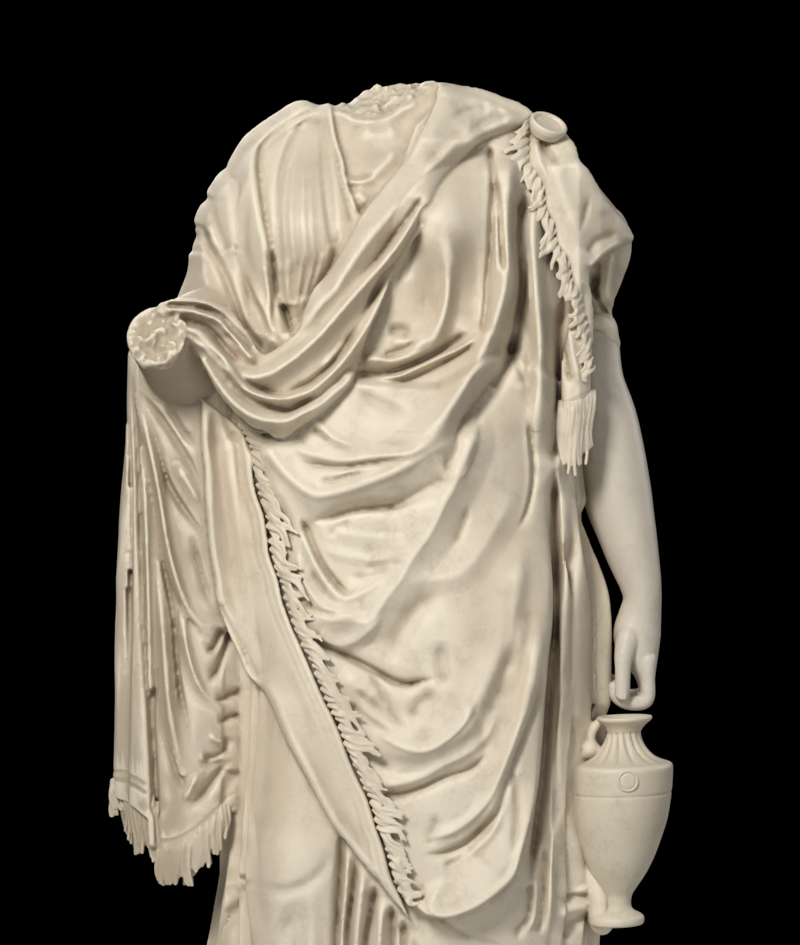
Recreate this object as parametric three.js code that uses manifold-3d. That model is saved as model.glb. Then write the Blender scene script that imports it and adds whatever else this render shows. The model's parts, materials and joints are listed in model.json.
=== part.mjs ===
// A headless draped marble statue of a standing woman, in millimetres, +Z up.
// She faces -Y, the origin is on the floor under the middle of the plinth, and +X is the viewer's right.
// Her weight is on the left leg (at +X). The right forearm is broken off, and the left hand hangs above an urn.
// Figure, mantle, urn and low plinth are carved from one block, so they are one solid.
import * as THREE from "three";
import { mergeVertices } from "three/addons/utils/BufferGeometryUtils.js";
import Module from "manifold-3d";

const wasm = await Module();
wasm.setup();

// ---- Driving dimensions -------------------------------------------------------------------------------------

const PLINTH = { length: 610, depth: 410, height: 72, corner: 120 };
const HEM_Z = PLINTH.height - 6;
const NECK_BREAK_Z = 1578;
const URN = { x: 287, y: -60, foot: 501, lean: 0.038 };
const COLUMNS = 44; // vertices round the figure
const ROWS = 35; // rows from hem to neck
const FRONT_CROWDING = 0.34; // how far the columns are drawn towards the front

// ---- The draped body: one oval section after another --------------------------------------------------------

// Each station: height, middle in x, half width, widest point in y, depth to the front, depth to the back.
const STATIONS = [
  [HEM_Z, 8, 246, 30, 178, 150],
  [200, 8, 243, 30, 178, 148],
  [350, 8, 247, 34, 186, 146],
  [470, 12, 249, 42, 198, 140],
  [600, 24, 238, 50, 206, 132],
  [700, 30, 242, 52, 204, 130],
  [840, 30, 244, 45, 195, 128],
  [960, 18, 244, 28, 172, 132],
  [1080, 8, 240, 12, 148, 128],
  [1200, 10, 234, 4, 128, 112],
  [1300, 20, 214, 0, 116, 108],
  [1400, 16, 206, 2, 108, 106],
  [1460, 18, 216, 8, 92, 98],
  [1505, 20, 210, 14, 76, 86],
  [1535, 26, 180, 18, 64, 74],
  [1558, 28, 136, 20, 56, 64],
  [1570, 24, 100, 20, 48, 56],
  [NECK_BREAK_Z, 20, 72, 18, 38, 44],
];

// Catmull-Rom between the stations, one column of the table at a time.
function station(z, column) {
  let i = 1;
  while (i < STATIONS.length - 2 && STATIONS[i + 1][0] < z) i += 1;
  const [a, b, c, d] = [i - 1, i, i + 1, i + 2].map(
    (k) => STATIONS[Math.min(STATIONS.length - 1, k)],
  );
  const low = z < b[0] ? a : b;
  const high = z < b[0] ? b : c;
  const t = THREE.MathUtils.clamp((z - low[0]) / (high[0] - low[0]), 0, 1);
  if (low === a) return THREE.MathUtils.lerp(low[column], high[column], t);
  const slopeIn = (c[column] - a[column]) / (c[0] - a[0]);
  const slopeOut = d === c ? 0 : (d[column] - b[column]) / (d[0] - b[0]);
  const span = c[0] - b[0];
  const t2 = t * t;
  const t3 = t2 * t;
  return (
    (2 * t3 - 3 * t2 + 1) * b[column] +
    (t3 - 2 * t2 + t) * span * slopeIn +
    (3 * t2 - 2 * t3) * c[column] +
    (t3 - t2) * span * slopeOut
  );
}

// Rounded masses under the cloth: middle (x, z), radii (x, z) and how far each stands out of the front.
const MASSES = [
  { name: "right breast", at: [-108, 1395], radii: [66, 74], rise: 30 },
  { name: "left breast", at: [72, 1398], radii: [68, 76], rise: 30 },
  { name: "belly", at: [10, 1110], radii: [110, 105], rise: 22 },
  { name: "right thigh", at: [-120, 730], radii: [88, 230], rise: 26 },
  { name: "right knee", at: [-140, 585], radii: [66, 88], rise: 30 },
  { name: "left thigh", at: [105, 860], radii: [95, 230], rise: 16 },
];

const bell = (d) => Math.exp(-d * d);

function massRise(x, z) {
  let rise = 0;
  for (const m of MASSES) {
    const d = Math.hypot((x - m.at[0]) / m.radii[0], (z - m.at[1]) / m.radii[1]);
    rise += m.rise * bell(d);
  }
  return rise;
}

// ---- The larger folds ---------------------------------------------------------------------------------------

// A fold runs through its points (x, z) as seen from the front. rise is its height out of the cloth, and a
// negative one is a furrow. Both ends fade out.
const fold = (points, width, rise) => ({
  curve: new THREE.SplineCurve(points.map(([x, z]) => new THREE.Vector2(x, z))),
  width,
  rise,
});

const FOLDS = [
  // The long ridge that falls from the left shoulder and sweeps across the thighs.
  fold([[150, 1500], [152, 1330], [118, 1200], [60, 1090], [40, 990], [-20, 900], [-80, 862]], 24, 26),
  fold([[176, 1450], [168, 1330], [150, 1240], [110, 1150], [86, 1100]], 15, -26),
  fold([[205, 1400], [196, 1260], [190, 1100], [196, 900], [170, 730], [110, 560]], 18, 18),
  fold([[128, 1490], [128, 1350], [112, 1265]], 12, -16),
  // The girdle's drooping folds below the chest.
  fold([[112, 1262], [50, 1235], [-35, 1222]], 15, 16),
  fold([[106, 1250], [40, 1206], [-40, 1204]], 11, -14),
  // Swags of the mantle across the belly and the thighs.
  fold([[86, 1140], [10, 1106], [-60, 1094], [-122, 1116]], 17, 17),
  fold([[80, 1070], [0, 1060], [-60, 1048], [-108, 1052], [-160, 1100]], 18, 20),
  fold([[70, 1060], [0, 1030], [-100, 1020]], 15, -18),
  fold([[24, 960], [-40, 930], [-90, 950], [-130, 1010]], 16, 16),
  fold([[-20, 890], [-70, 882], [-110, 900]], 15, 14),
  fold([[20, 800], [-30, 830], [-98, 862]], 15, -16),
  fold([[170, 800], [100, 720], [30, 664], [-20, 655]], 18, 18),
  fold([[190, 700], [140, 610], [80, 575], [20, 580]], 18, 16),
  fold([[160, 560], [110, 515], [60, 500], [10, 530]], 18, 16),
  fold([[206, 1060], [208, 900], [196, 720], [180, 560], [170, 420]], 12, -26),
  // Upright folds of the tunic below the mantle.
  fold([[-208, 780], [-208, 560], [-220, 300], [-226, 70]], 18, 14),
  fold([[-74, 600], [-76, 440], [-84, 260], [-88, 60]], 20, -20),
  fold([[-36, 540], [-38, 420], [-40, 240], [-42, 60]], 18, 20),
  fold([[0, 500], [2, 380], [4, 220], [4, 60]], 18, -20),
  fold([[48, 450], [50, 330], [50, 200], [50, 60]], 20, 20),
  fold([[104, 470], [102, 330], [102, 200], [102, 60]], 20, -20),
  fold([[158, 470], [158, 330], [156, 200], [156, 60]], 20, 20),
  fold([[206, 560], [206, 380], [204, 220], [204, 60]], 18, -18),
];

function foldRise(x, z) {
  let rise = 0;
  for (const { curve, width, rise: height } of FOLDS) {
    const steps = 18;
    let nearest = Infinity;
    let along = 0;
    for (let i = 0; i <= steps; i += 1) {
      const p = curve.getPoint(i / steps);
      const d = Math.hypot(p.x - x, p.y - z);
      if (d < nearest) {
        nearest = d;
        along = i / steps;
      }
    }
    const fade = Math.min(1, 5 * Math.min(along, 1 - along) + 0.25);
    rise += height * fade * bell(nearest / width);
  }
  return rise;
}

// The point of the figure's skin at an angle (0 is +X, and the front is at -90 degrees) and a height.
function skin(angle, z) {
  const [middle, halfWidth, widest, front, back] = [1, 2, 3, 4, 5].map((k) => station(z, k));
  const x = middle + halfWidth * Math.cos(angle);
  const sine = Math.sin(angle);
  const flat = 1 - Math.pow(Math.abs(Math.cos(angle)), 2.3);
  const depth = Math.sign(sine) * Math.pow(Math.max(flat, 0), 1 / 2.3);
  if (sine < 0) {
    const facing = Math.min(1, -sine * 2.2);
    return [x, widest + depth * front - facing * (massRise(x, z) + foldRise(x, z)), z];
  }
  // The back: long shallow folds that slant from the left shoulder to the right hip, and the seat.
  const facing = Math.min(1, sine * 2.2);
  const seat = 26 * bell((z - 900) / 150) * bell((x - 30) / 150);
  const slant = 7 * Math.sin((x * 0.9 + z * 0.45) / 21) * bell((z - 1050) / 560);
  return [x, widest + depth * back + facing * (seat + slant), z];
}

// How far forward the figure's front lies at x and z.
function frontOf(x, z) {
  const middle = station(z, 1);
  const halfWidth = station(z, 2);
  const share = THREE.MathUtils.clamp((x - middle) / halfWidth, -0.999, 0.999);
  return skin(-Math.acos(share), z)[1];
}

// ---- From geometry to solids --------------------------------------------------------------------------------

function solid(geometry) {
  const bare = geometry.clone();
  bare.deleteAttribute("normal");
  bare.deleteAttribute("uv");
  const merged = mergeVertices(bare, 1e-3);
  return new wasm.Manifold(
    new wasm.Mesh({
      numProp: 3,
      vertProperties: merged.attributes.position.array,
      triVerts: new Uint32Array(merged.index.array),
    }),
  );
}

// A closed cylinder of sides x rows whose points are moved by place(angle, share of the height, share of the
// radius). Its caps stay flat fans.
function mapped(sides, rows, place) {
  const geometry = new THREE.CylinderGeometry(1, 1, 1, sides, rows);
  const position = geometry.attributes.position;
  for (let i = 0; i < position.count; i += 1) {
    const [x, y, z] = [position.getX(i), position.getY(i), position.getZ(i)];
    const angle = Math.atan2(-z, x);
    position.setXYZ(i, ...place(angle, y + 0.5, Math.min(1, Math.hypot(x, z))));
  }
  return solid(geometry);
}

function figure() {
  const height = NECK_BREAK_Z - HEM_Z;
  return mapped(COLUMNS, ROWS, (turn, share, radius) => {
    const angle = turn + FRONT_CROWDING * Math.cos(turn);
    const z = HEM_Z + share * height;
    if (radius < 0.5) return [station(z, 1), station(z, 3), z];
    return skin(angle, z);
  });
}

// A limb, roll or tuft: round or oval sections along a smooth curve. Each knot is [x, y, z, radius] or
// [x, y, z, radius, thickness], where thickness replaces the radius in the direction nearest to Y.
function limb(knots, sides = 9, rows = 10) {
  const path = new THREE.CatmullRomCurve3(
    knots.map(([x, y, z]) => new THREE.Vector3(x, y, z)),
    false,
    "centripetal",
  );
  const size = (t, k) => {
    const at = t * (knots.length - 1);
    const i = Math.min(knots.length - 2, Math.floor(at));
    const value = (knot) => knot[k] ?? knot[3];
    return THREE.MathUtils.lerp(value(knots[i]), value(knots[i + 1]), at - i);
  };
  return mapped(sides, rows, (angle, share, radius) => {
    const centre = path.getPoint(share);
    const along = path.getTangent(share).normalize();
    const towards = Math.abs(along.y) > 0.8 ? new THREE.Vector3(0, 0, 1) : new THREE.Vector3(0, 1, 0);
    const side = new THREE.Vector3().crossVectors(towards, along).normalize();
    const thick = new THREE.Vector3().crossVectors(along, side);
    const end = Math.min(share, 1 - share) * rows;
    const rounded = end < 0.5 ? 0.55 : 1;
    const reach = radius < 0.5 ? 0 : rounded;
    centre.addScaledVector(side, reach * size(share, 3) * Math.cos(angle));
    centre.addScaledVector(thick, reach * size(share, 4) * Math.sin(angle));
    return centre.toArray();
  });
}

// A strip of cloth that lies on the figure's front along a line (x, z) and stands proud of it. A toothed strip
// is a fringe: every second row of it is wider.
function strip(points, halfWidth, proud, rows = 14, tooth = 0) {
  const line = new THREE.SplineCurve(points.map(([x, z]) => new THREE.Vector2(x, z)));
  const buried = 24;
  return mapped(6, rows, (angle, share, radius) => {
    const p = line.getPoint(share);
    const t = line.getTangent(share);
    const wide = halfWidth + (Math.round(share * rows) % 2) * tooth;
    const across = radius < 0.5 ? 0 : wide * Math.sign(Math.round(Math.cos(angle) * 2));
    const x = p.x + t.y * across;
    const z = p.y - t.x * across;
    const outside = Math.sin(angle) < -0.1 ? -proud : buried;
    return [x, frontOf(x, z) + (radius < 0.5 ? 0 : outside), z];
  });
}

// ---- The mantle ---------------------------------------------------------------------------------------------

// The roll that crosses the chest from the left shoulder, hangs in a loop and runs up over the right forearm:
// three thick folds side by side.
function sling() {
  const route = [
    [168, -30, 1528],
    [92, -84, 1506],
    [30, -112, 1446],
    [-32, -134, 1366],
    [-78, -148, 1290],
    [-118, -158, 1208],
    [-176, -162, 1180],
    [-224, -154, 1214],
    [-262, -120, 1258],
  ];
  // Each fold: how far it lies beside the middle of the roll, and its radius.
  const strands = [
    [-34, 26],
    [2, 30],
    [36, 25],
  ];
  const path = new THREE.CatmullRomCurve3(route.map((p) => new THREE.Vector3(...p)));
  const last = route.length - 1;
  return strands.map(([beside, radius]) =>
    limb(
      route.map((p, i) => {
        const t = path.getTangent(i / last);
        const flat = Math.hypot(t.x, t.z);
        const gather = i === 0 ? 0.45 : i === last ? 0.55 : 1;
        const x = p[0] - (t.z / flat) * beside * gather;
        const z = p[2] + (t.x / flat) * beside * gather;
        return [x, p[1], z, radius * gather, radius * gather * 0.95];
      }),
      8,
      12,
    ),
  );
}

// The cloth over the right shoulder and arm, and the forearm with its broken end.
function rightArm() {
  const sleeve = [
    [-128, 24, 1505, 44],
    [-158, 20, 1450, 68],
    [-184, 12, 1390, 68],
    [-202, 2, 1320, 70],
    [-222, -18, 1250, 62],
    [-230, -28, 1205, 40],
  ];
  const forearm = [
    [-263, 5, 1160, 36],
    [-270, -40, 1182, 49],
    [-280, -100, 1211, 45],
    [-286, -176, 1237, 37],
    [-287, -190, 1242, 34],
  ];
  const cuff = [
    [-212, -30, 1284, 30],
    [-250, -72, 1284, 32],
    [-280, -132, 1270, 24],
  ];
  return [limb(sleeve, 9, 7), limb(forearm, 12, 6), limb(cuff, 8, 4)];
}

// The end of the mantle that hangs from the right forearm, pleated and with a slanting hem.
const PANEL = { left: -362, right: -196, y: -48, top: 1232, halfDepth: 88, pleats: 7 };

function panelHem(x) {
  const share = THREE.MathUtils.clamp((x - PANEL.left) / 150, 0, 1);
  return 655 - 75 * Math.sin(share * Math.PI * 0.62) + 45 * share * share * share;
}

// A point of the panel's skin. drop is 0 under the forearm and 1 at the hem.
function panelPoint(angle, drop, reach) {
  const spread = Math.min(1, 0.7 + drop);
  const left = PANEL.left + 16 * (1 - drop) + 12 * (1 - spread);
  const middle = (left + PANEL.right - 14 * (1 - drop)) / 2;
  const pleat = reach * (1 + 0.07 * spread * Math.cos(PANEL.pleats * angle));
  const x = middle + pleat * (middle - left) * Math.cos(angle);
  const y = PANEL.y - 14 * (1 - drop) + pleat * PANEL.halfDepth * (0.5 + 0.5 * spread) * Math.sin(angle);
  return [x, y];
}

function hangingPanel() {
  return mapped(24, 8, (angle, share, radius) => {
    const [x, y] = panelPoint(angle, 1 - share, radius < 0.5 ? 0 : 1);
    return [x, y, panelHem(x) + share * (PANEL.top - panelHem(x))];
  });
}

function panelFringe() {
  const tufts = 10;
  return Array.from({ length: tufts }, (_, i) => {
    const angle = -Math.PI * (0.16 + (0.82 * i) / (tufts - 1));
    const [x, y] = panelPoint(angle, 1, 0.88);
    const hem = panelHem(x);
    return limb([[x, y, hem + 16, 12], [x, y, hem - 18 - 8 * (i % 2), 8]], 5, 1);
  });
}

// The mantle's border: it drops from under the loop, then slants over the thighs with its fringe beside it.
const BORDER = [
  [-222, 1180],
  [-208, 1060],
  [-200, 960],
  [-178, 860],
  [-138, 770],
  [-96, 690],
  [-56, 620],
  [-12, 556],
  [26, 492],
];
const FRINGE_LINE = [
  [-178, 1110],
  [-168, 1030],
  [-158, 960],
  [-138, 890],
  [-108, 815],
  [-78, 745],
  [-50, 680],
  [-22, 612],
  [10, 545],
];

// The end pinned to the left shoulder, which falls in front of the arm to a fringed corner.
const SHOULDER_END = [
  [190, -44, 1520, 18, 16],
  [200, -82, 1440, 28, 22],
  [214, -94, 1340, 30, 22],
  [228, -96, 1240, 28, 20],
  [236, -94, 1160, 24, 16],
];

function shoulderEnd() {
  const edge = [
    [182, -46, 1522, 16, 18],
    [178, -68, 1470, 17, 22],
    [190, -92, 1410, 14, 16],
    [208, -104, 1350, 13, 14],
    [228, -106, 1300, 12, 14],
    [248, -100, 1235, 10, 12],
  ];
  const brooch = new THREE.CylinderGeometry(21, 25, 22, 14);
  brooch.rotateX(Math.PI * 0.26);
  brooch.translate(201, -50, 1524);
  const corner = [216, 228, 240].map((x, i) =>
    limb([[x, -88, 1184 - 8 * i, 12], [x + 5, -90, 1090 - 6 * i, 7]], 5, 1),
  );
  return [limb(SHOULDER_END, 8, 7), limb(edge, 6, 7), solid(brooch), ...corner];
}

// ---- The left arm, its sleeve and its hand ------------------------------------------------------------------

function leftArm() {
  const sleeve = [
    [186, 12, 1502, 46],
    [216, 18, 1455, 58],
    [247, 22, 1392, 66, 58],
    [250, 24, 1340, 52],
    [252, 26, 1286, 36],
  ];
  const hem = [
    [254, 26, 1276, 40],
    [254, 26, 1250, 44],
    [256, 26, 1226, 39],
  ];
  const arm = [
    [254, 26, 1290, 34],
    [260, 28, 1200, 41],
    [280, 30, 1130, 44],
    [294, 24, 1050, 43],
    [309, 14, 990, 35],
    [322, 4, 930, 26, 23],
    [325, 0, 900, 24, 21],
    [320, -4, 870, 30, 21],
  ];
  return [limb(sleeve, 10, 7), limb(hem, 10, 2), limb(arm, 10, 12)];
}

// A loosely closed hand: the back of the hand, the thumb down the front, and four fingers curled under.
function hand() {
  const palm = [
    [320, -2, 884, 28, 20],
    [319, 0, 850, 31, 24],
    [324, 4, 818, 19, 26],
    [326, 4, 790, 14, 24],
  ];
  const thumb = [
    [302, -10, 876, 14],
    [298, -24, 842, 12],
    [296, -32, 812, 11],
    [297, -32, 786, 9],
  ];
  const fingers = [-22, -7, 8, 23].map((y, i) => [
    [327, y + 6, 806, 11],
    [326, y + 2, 787, 11],
    [308, y, 781 + 2 * i, 10],
    [291, y - 2, 788 + 3 * i, 9],
  ]);
  return [limb(palm, 9, 4), limb(thumb, 7, 4), ...fingers.map((f) => limb(f, 6, 4))];
}

// ---- The urn ------------------------------------------------------------------------------------------------

// Outer profile: radius and height above the foot's underside.
const URN_PROFILE = [
  [0, 0], [35, 0], [35, 9], [24, 16], [17.6, 28], [34, 62], [47, 91], [55, 116], [61.5, 144], [64, 168],
  [65, 200], [61, 206], [45, 212], [28, 226], [21.6, 246], [35, 258], [33, 266],
];

function urn() {
  // Inside, the wall is about 13 mm thick, and thinner at the lip.
  const inner = [
    [29, 266], [20, 258], [12.5, 247], [12.5, 240], [20, 223], [46, 200], [51, 190], [50, 164],
    [43, 125], [32, 89], [0, 50],
  ];
  const profile = [...URN_PROFILE, ...inner].map(([r, h]) => new THREE.Vector2(r, h));
  const geometry = new THREE.LatheGeometry(profile, 14);
  geometry.rotateX(Math.PI / 2);
  geometry.rotateY(URN.lean);
  geometry.translate(URN.x, URN.y, URN.foot);
  return solid(geometry);
}

// The round boss on the urn's shoulder band, the stub of its handle, and the tip of cloth that bears its foot.
function urnFittings() {
  const boss = new THREE.CylinderGeometry(14, 15, 8, 12);
  boss.translate(URN.x + 7, URN.y - 65, URN.foot + 190);
  const handle = [
    [278, -58, 744, 6],
    [266, -56, 742, 6],
    [260, -56, 726, 6],
    [262, -58, 704, 7],
  ];
  const strut = [
    [232, -20, 728, 13],
    [258, -40, 727, 10],
  ];
  const tip = [
    [222, -64, 540, 26],
    [246, -62, 537, 18],
    [272, -60, 529, 12],
  ];
  return [solid(boss), limb(handle, 6, 4), limb(strut, 7, 2), limb(tip, 8, 4)];
}

// ---- Plinth and feet ----------------------------------------------------------------------------------------

function plinth() {
  const { length, depth, height, corner } = PLINTH;
  const outline = new THREE.Shape();
  const [x, y] = [length / 2, depth / 2];
  outline.moveTo(-x + corner, -y);
  outline.lineTo(x - corner, -y);
  outline.quadraticCurveTo(x, -y, x, -y + corner);
  outline.lineTo(x, y - corner);
  outline.quadraticCurveTo(x, y, x - corner, y);
  outline.lineTo(-x + corner, y);
  outline.quadraticCurveTo(-x, y, -x, y - corner);
  outline.lineTo(-x, -y + corner);
  outline.quadraticCurveTo(-x, -y, -x + corner, -y);
  return solid(new THREE.ExtrudeGeometry(outline, { depth: height, bevelEnabled: false, curveSegments: 7 }));
}

// The toes of both feet show under the hem.
function feet() {
  return [
    [-128, 1.15],
    [96, 0.95],
  ].map(([x, reach]) =>
    limb([[x, -90, 92, 36, 30], [x - 2, -138 * reach, 90, 38, 26], [x - 4, -178 * reach, 82, 36, 18]], 9, 5),
  );
}

// ---- The whole block ----------------------------------------------------------------------------------------

const pieces = [
  plinth(),
  ...feet(),
  ...sling(),
  ...rightArm(),
  hangingPanel(),
  ...panelFringe(),
  strip(BORDER, 38, 13),
  strip(FRINGE_LINE, 12, 9, 28, 6),
  ...shoulderEnd(),
  ...leftArm(),
  ...hand(),
  urn(),
  ...urnFittings(),
];
const block = pieces.reduce((whole, piece) => whole.add(piece), figure());

const carved = block.getMesh();
const geometry = new THREE.BufferGeometry();
geometry.setAttribute("position", new THREE.BufferAttribute(carved.vertProperties, 3));
geometry.setIndex(new THREE.BufferAttribute(carved.triVerts, 1));
geometry.computeVertexNormals();

const marble = new THREE.MeshStandardMaterial({ color: 0xcfc3ad, roughness: 0.55, metalness: 0 });
const statue = new THREE.Mesh(geometry, marble);
statue.name = "statue";

const group = new THREE.Group();
group.add(statue);
export default group;
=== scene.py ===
# %% [markdown]
# # A draped marble statue, carved in Blender
#
# The real object is one block of marble: a headless woman in a thin tunic and a fringed mantle, with an urn at
# her left side and a low plinth under her feet. A carver roughs out the block, cuts the big folds, and then drills
# the deep channels. This lesson works in the same order. It draws the folds as strokes on an upright pane, carries
# them onto smooth body forms, fuses all the forms into one block, and then tones the marble.

import json
import math

import bpy
import numpy as np
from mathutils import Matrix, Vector
from mathutils.bvhtree import BVHTree

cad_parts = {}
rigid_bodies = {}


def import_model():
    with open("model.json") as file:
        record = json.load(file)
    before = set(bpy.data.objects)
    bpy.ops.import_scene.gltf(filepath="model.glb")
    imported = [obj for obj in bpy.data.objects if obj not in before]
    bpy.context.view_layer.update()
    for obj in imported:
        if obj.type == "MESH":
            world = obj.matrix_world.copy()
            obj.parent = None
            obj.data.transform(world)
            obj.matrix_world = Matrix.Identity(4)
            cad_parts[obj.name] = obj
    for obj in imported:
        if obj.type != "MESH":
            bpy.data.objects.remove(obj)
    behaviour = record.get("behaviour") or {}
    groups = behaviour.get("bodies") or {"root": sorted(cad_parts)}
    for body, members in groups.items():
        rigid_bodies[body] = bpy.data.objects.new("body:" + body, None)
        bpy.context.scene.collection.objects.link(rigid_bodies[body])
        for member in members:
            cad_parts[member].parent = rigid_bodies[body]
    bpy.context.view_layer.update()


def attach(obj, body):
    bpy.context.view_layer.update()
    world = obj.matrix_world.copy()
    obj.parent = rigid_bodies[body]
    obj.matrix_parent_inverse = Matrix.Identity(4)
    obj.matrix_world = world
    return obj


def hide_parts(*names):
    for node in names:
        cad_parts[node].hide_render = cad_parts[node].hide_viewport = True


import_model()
scene = bpy.context.scene

# %% [markdown]
# ## The viewer's eye and the pane
#
# A relief carver judges every fold from one place. Here the eye stands in front of the statue, and the folds are
# drawn in millimetres on an upright pane through the middle of the plinth (y = 0). A point that lies nearer to the
# eye than the pane looks larger, so `onto_pane` and `from_pane` carry points between the pane and real space. The
# pane is a grid of heights, with one number every 1.5 mm for how far the cloth stands forward.

# %% The pane
EYE = np.array([10.0, -3810.0, 1079.0])
STEP = 1.5
PANE_X = np.arange(-384, 384 + STEP, STEP)
PANE_Z = np.arange(54, 1605 + STEP, STEP)
GX, GZ = np.meshgrid(PANE_X, PANE_Z)


def onto_pane(x, y, z):
    nearer = -EYE[1] / (y - EYE[1])
    return EYE[0] + (x - EYE[0]) * nearer, EYE[2] + (z - EYE[2]) * nearer


def from_pane(x, y, z):
    nearer = -EYE[1] / (y - EYE[1])
    return EYE[0] + (x - EYE[0]) / nearer, y, EYE[2] + (z - EYE[2]) / nearer


def blank():
    return np.zeros_like(GX)


def read_pane(sheet, x, z):
    """The sheet's height at each (x, z), between its grid points."""
    i = np.clip((x - PANE_X[0]) / STEP, 0, len(PANE_X) - 1.001)
    j = np.clip((z - PANE_Z[0]) / STEP, 0, len(PANE_Z) - 1.001)
    i0, j0 = i.astype(int), j.astype(int)
    u, v = i - i0, j - j0
    low = sheet[j0, i0] * (1 - u) + sheet[j0, i0 + 1] * u
    high = sheet[j0 + 1, i0] * (1 - u) + sheet[j0 + 1, i0 + 1] * u
    return low * (1 - v) + high * v


print("pane:", GX.shape, "heights")

# %% [markdown]
# ## Lines and strokes
#
# Every fold is a stroke along a smooth line through a few points. `near` finds how far each grid point lies from
# the line, on which side, and how far along. A `bump` is a soft swelling, a `ridge` is a fold with a crisp foot, a
# `groove` is a furrow or a drilled channel, and a `lip` is the edge of a layer that lies over another. Strokes fade
# at their ends, as folds do.

# %% The strokes


def flowing(points, steps=8):
    """A Catmull-Rom line through the points."""
    p = np.array(points, float)
    q = np.vstack([2 * p[0] - p[1], p, 2 * p[-1] - p[-2]])
    t = np.linspace(0, 1, steps, endpoint=False)[:, None]
    runs = []
    for a, b, c, d in zip(q, q[1:], q[2:], q[3:]):
        square, cube = 2 * a - 5 * b + 4 * c - d, 3 * b - a - 3 * c + d
        runs.append(0.5 * (2 * b + (c - a) * t + square * t**2 + cube * t**3))
    return np.vstack(runs + [p[-1:]])


def near(points, reach):
    line = flowing(points)
    lo, hi = line.min(0) - reach, line.max(0) + reach
    i0, i1 = np.clip(((np.array([lo[0], hi[0]]) - PANE_X[0]) / STEP + [0, 2]).astype(int), 0, len(PANE_X))
    j0, j1 = np.clip(((np.array([lo[1], hi[1]]) - PANE_Z[0]) / STEP + [0, 2]).astype(int), 0, len(PANE_Z))
    window = (slice(j0, j1), slice(i0, i1))
    x, z = GX[window], GZ[window]
    away = np.full(x.shape, 1e9)
    side = np.ones(x.shape)
    along = np.zeros(x.shape)
    legs = np.diff(line, axis=0)
    lengths = np.hypot(*legs.T)
    run = np.r_[0, np.cumsum(lengths)]
    for start, (dx, dz), length, before in zip(line, legs, lengths, run):
        ux, uz = x - start[0], z - start[1]
        t = np.clip((ux * dx + uz * dz) / (length**2 + 1e-9), 0, 1)
        d = np.hypot(ux - t * dx, uz - t * dz)
        closer = d < away
        away = np.where(closer, d, away)
        side = np.where(closer, np.where(dx * uz - dz * ux >= 0, 1, -1), side)
        along = np.where(closer, (before + t * length) / run[-1], along)
    return window, away * side, along


def ease(low, high, value):
    t = np.clip((value - low) / (high - low), 0, 1)
    return t * t * (3 - 2 * t)


def ends(along, fade):
    first = ease(0, fade[0], along) if fade[0] else 1
    last = ease(0, fade[1], 1 - along) if fade[1] else 1
    return first * last


def sides(distance, width):
    left, right = width if isinstance(width, tuple) else (width, width)
    return np.where(distance > 0, distance / left, -distance / right)


def widest(width):
    return max(width) if isinstance(width, tuple) else width


def bump(sheet, points, height, width, fade=(0.15, 0.15)):
    window, d, along = near(points, 2.6 * widest(width))
    sheet[window] += height * np.exp(-sides(d, width) ** 2) * ends(along, fade)


def groove(sheet, points, depth, width, fade=(0.2, 0.2), shoulder=0.3):
    """A furrow with gentler shoulders beside it. It narrows and shallows towards its ends."""
    window, d, along = near(points, 6 * widest(width))
    left_in = ends(along, fade)
    u = sides(d, width) / (0.35 + 0.65 * left_in)
    cut = (1 - shoulder) * np.exp(-(u**2)) + shoulder * np.exp(-((u / 3) ** 2))
    sheet[window] -= depth * cut * left_in


def ridge(sheet, points, height, width, fade=(0.15, 0.15), soft=2.5, sharp=1.5):
    """A fold with a narrow crest and hollow sides. Where two meet, the higher one wins and leaves a crease."""
    window, d, along = near(points, widest(width) + 3)
    left_in = ends(along, fade)
    u = sides(d, width) / (0.55 + 0.45 * left_in)
    fold = height * np.clip(1.12 - np.sqrt(u * u + 0.0144), 0, 1) ** sharp * left_in
    old = sheet[window]
    both = 0.5 * (old + fold + np.sqrt((old - fold) ** 2 + soft * soft)) - 0.5 * soft
    sheet[window] = np.where(np.abs(u) < 1.12, np.maximum(both, old + 0.5 * fold), old)


def lip(sheet, points, height, sharp, far, fade=(0.15, 0.15)):
    """The cloth to the left of the line stands up within `sharp` and sinks back over `far`."""
    window, d, along = near(points, far + sharp + 2)
    up = ease(0, sharp, d)
    down = 1 - ease(sharp, sharp + far, d)
    sheet[window] += height * up * down * ends(along, fade)


def evenly(points, count):
    line = flowing(points)
    run = np.r_[0, np.cumsum(np.hypot(*np.diff(line, axis=0).T))]
    at = np.linspace(0, run[-1], count)
    return np.stack([np.interp(at, run, line[:, k]) for k in range(line.shape[1])], 1)


def fan(sheet, first, last, count, height, width, fade=(0.2, 0.2), stroke=groove, seed=1):
    """Strokes spread between two lines, each a little uneven, as a carver leaves them."""
    chance = np.random.default_rng(seed)
    a, b = evenly(first, 7), evenly(last, 7)
    for i in range(count):
        t = (i + 0.5 + 0.25 * chance.uniform(-1, 1)) / count
        strength, spread = chance.uniform(0.55, 1.15), chance.uniform(0.8, 1.2)
        stroke(sheet, a * (1 - t) + b * t, height * strength, width * spread, fade)


def beside(points, dx, dz):
    return [(x + dx, z + dz) for x, z in points]


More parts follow.
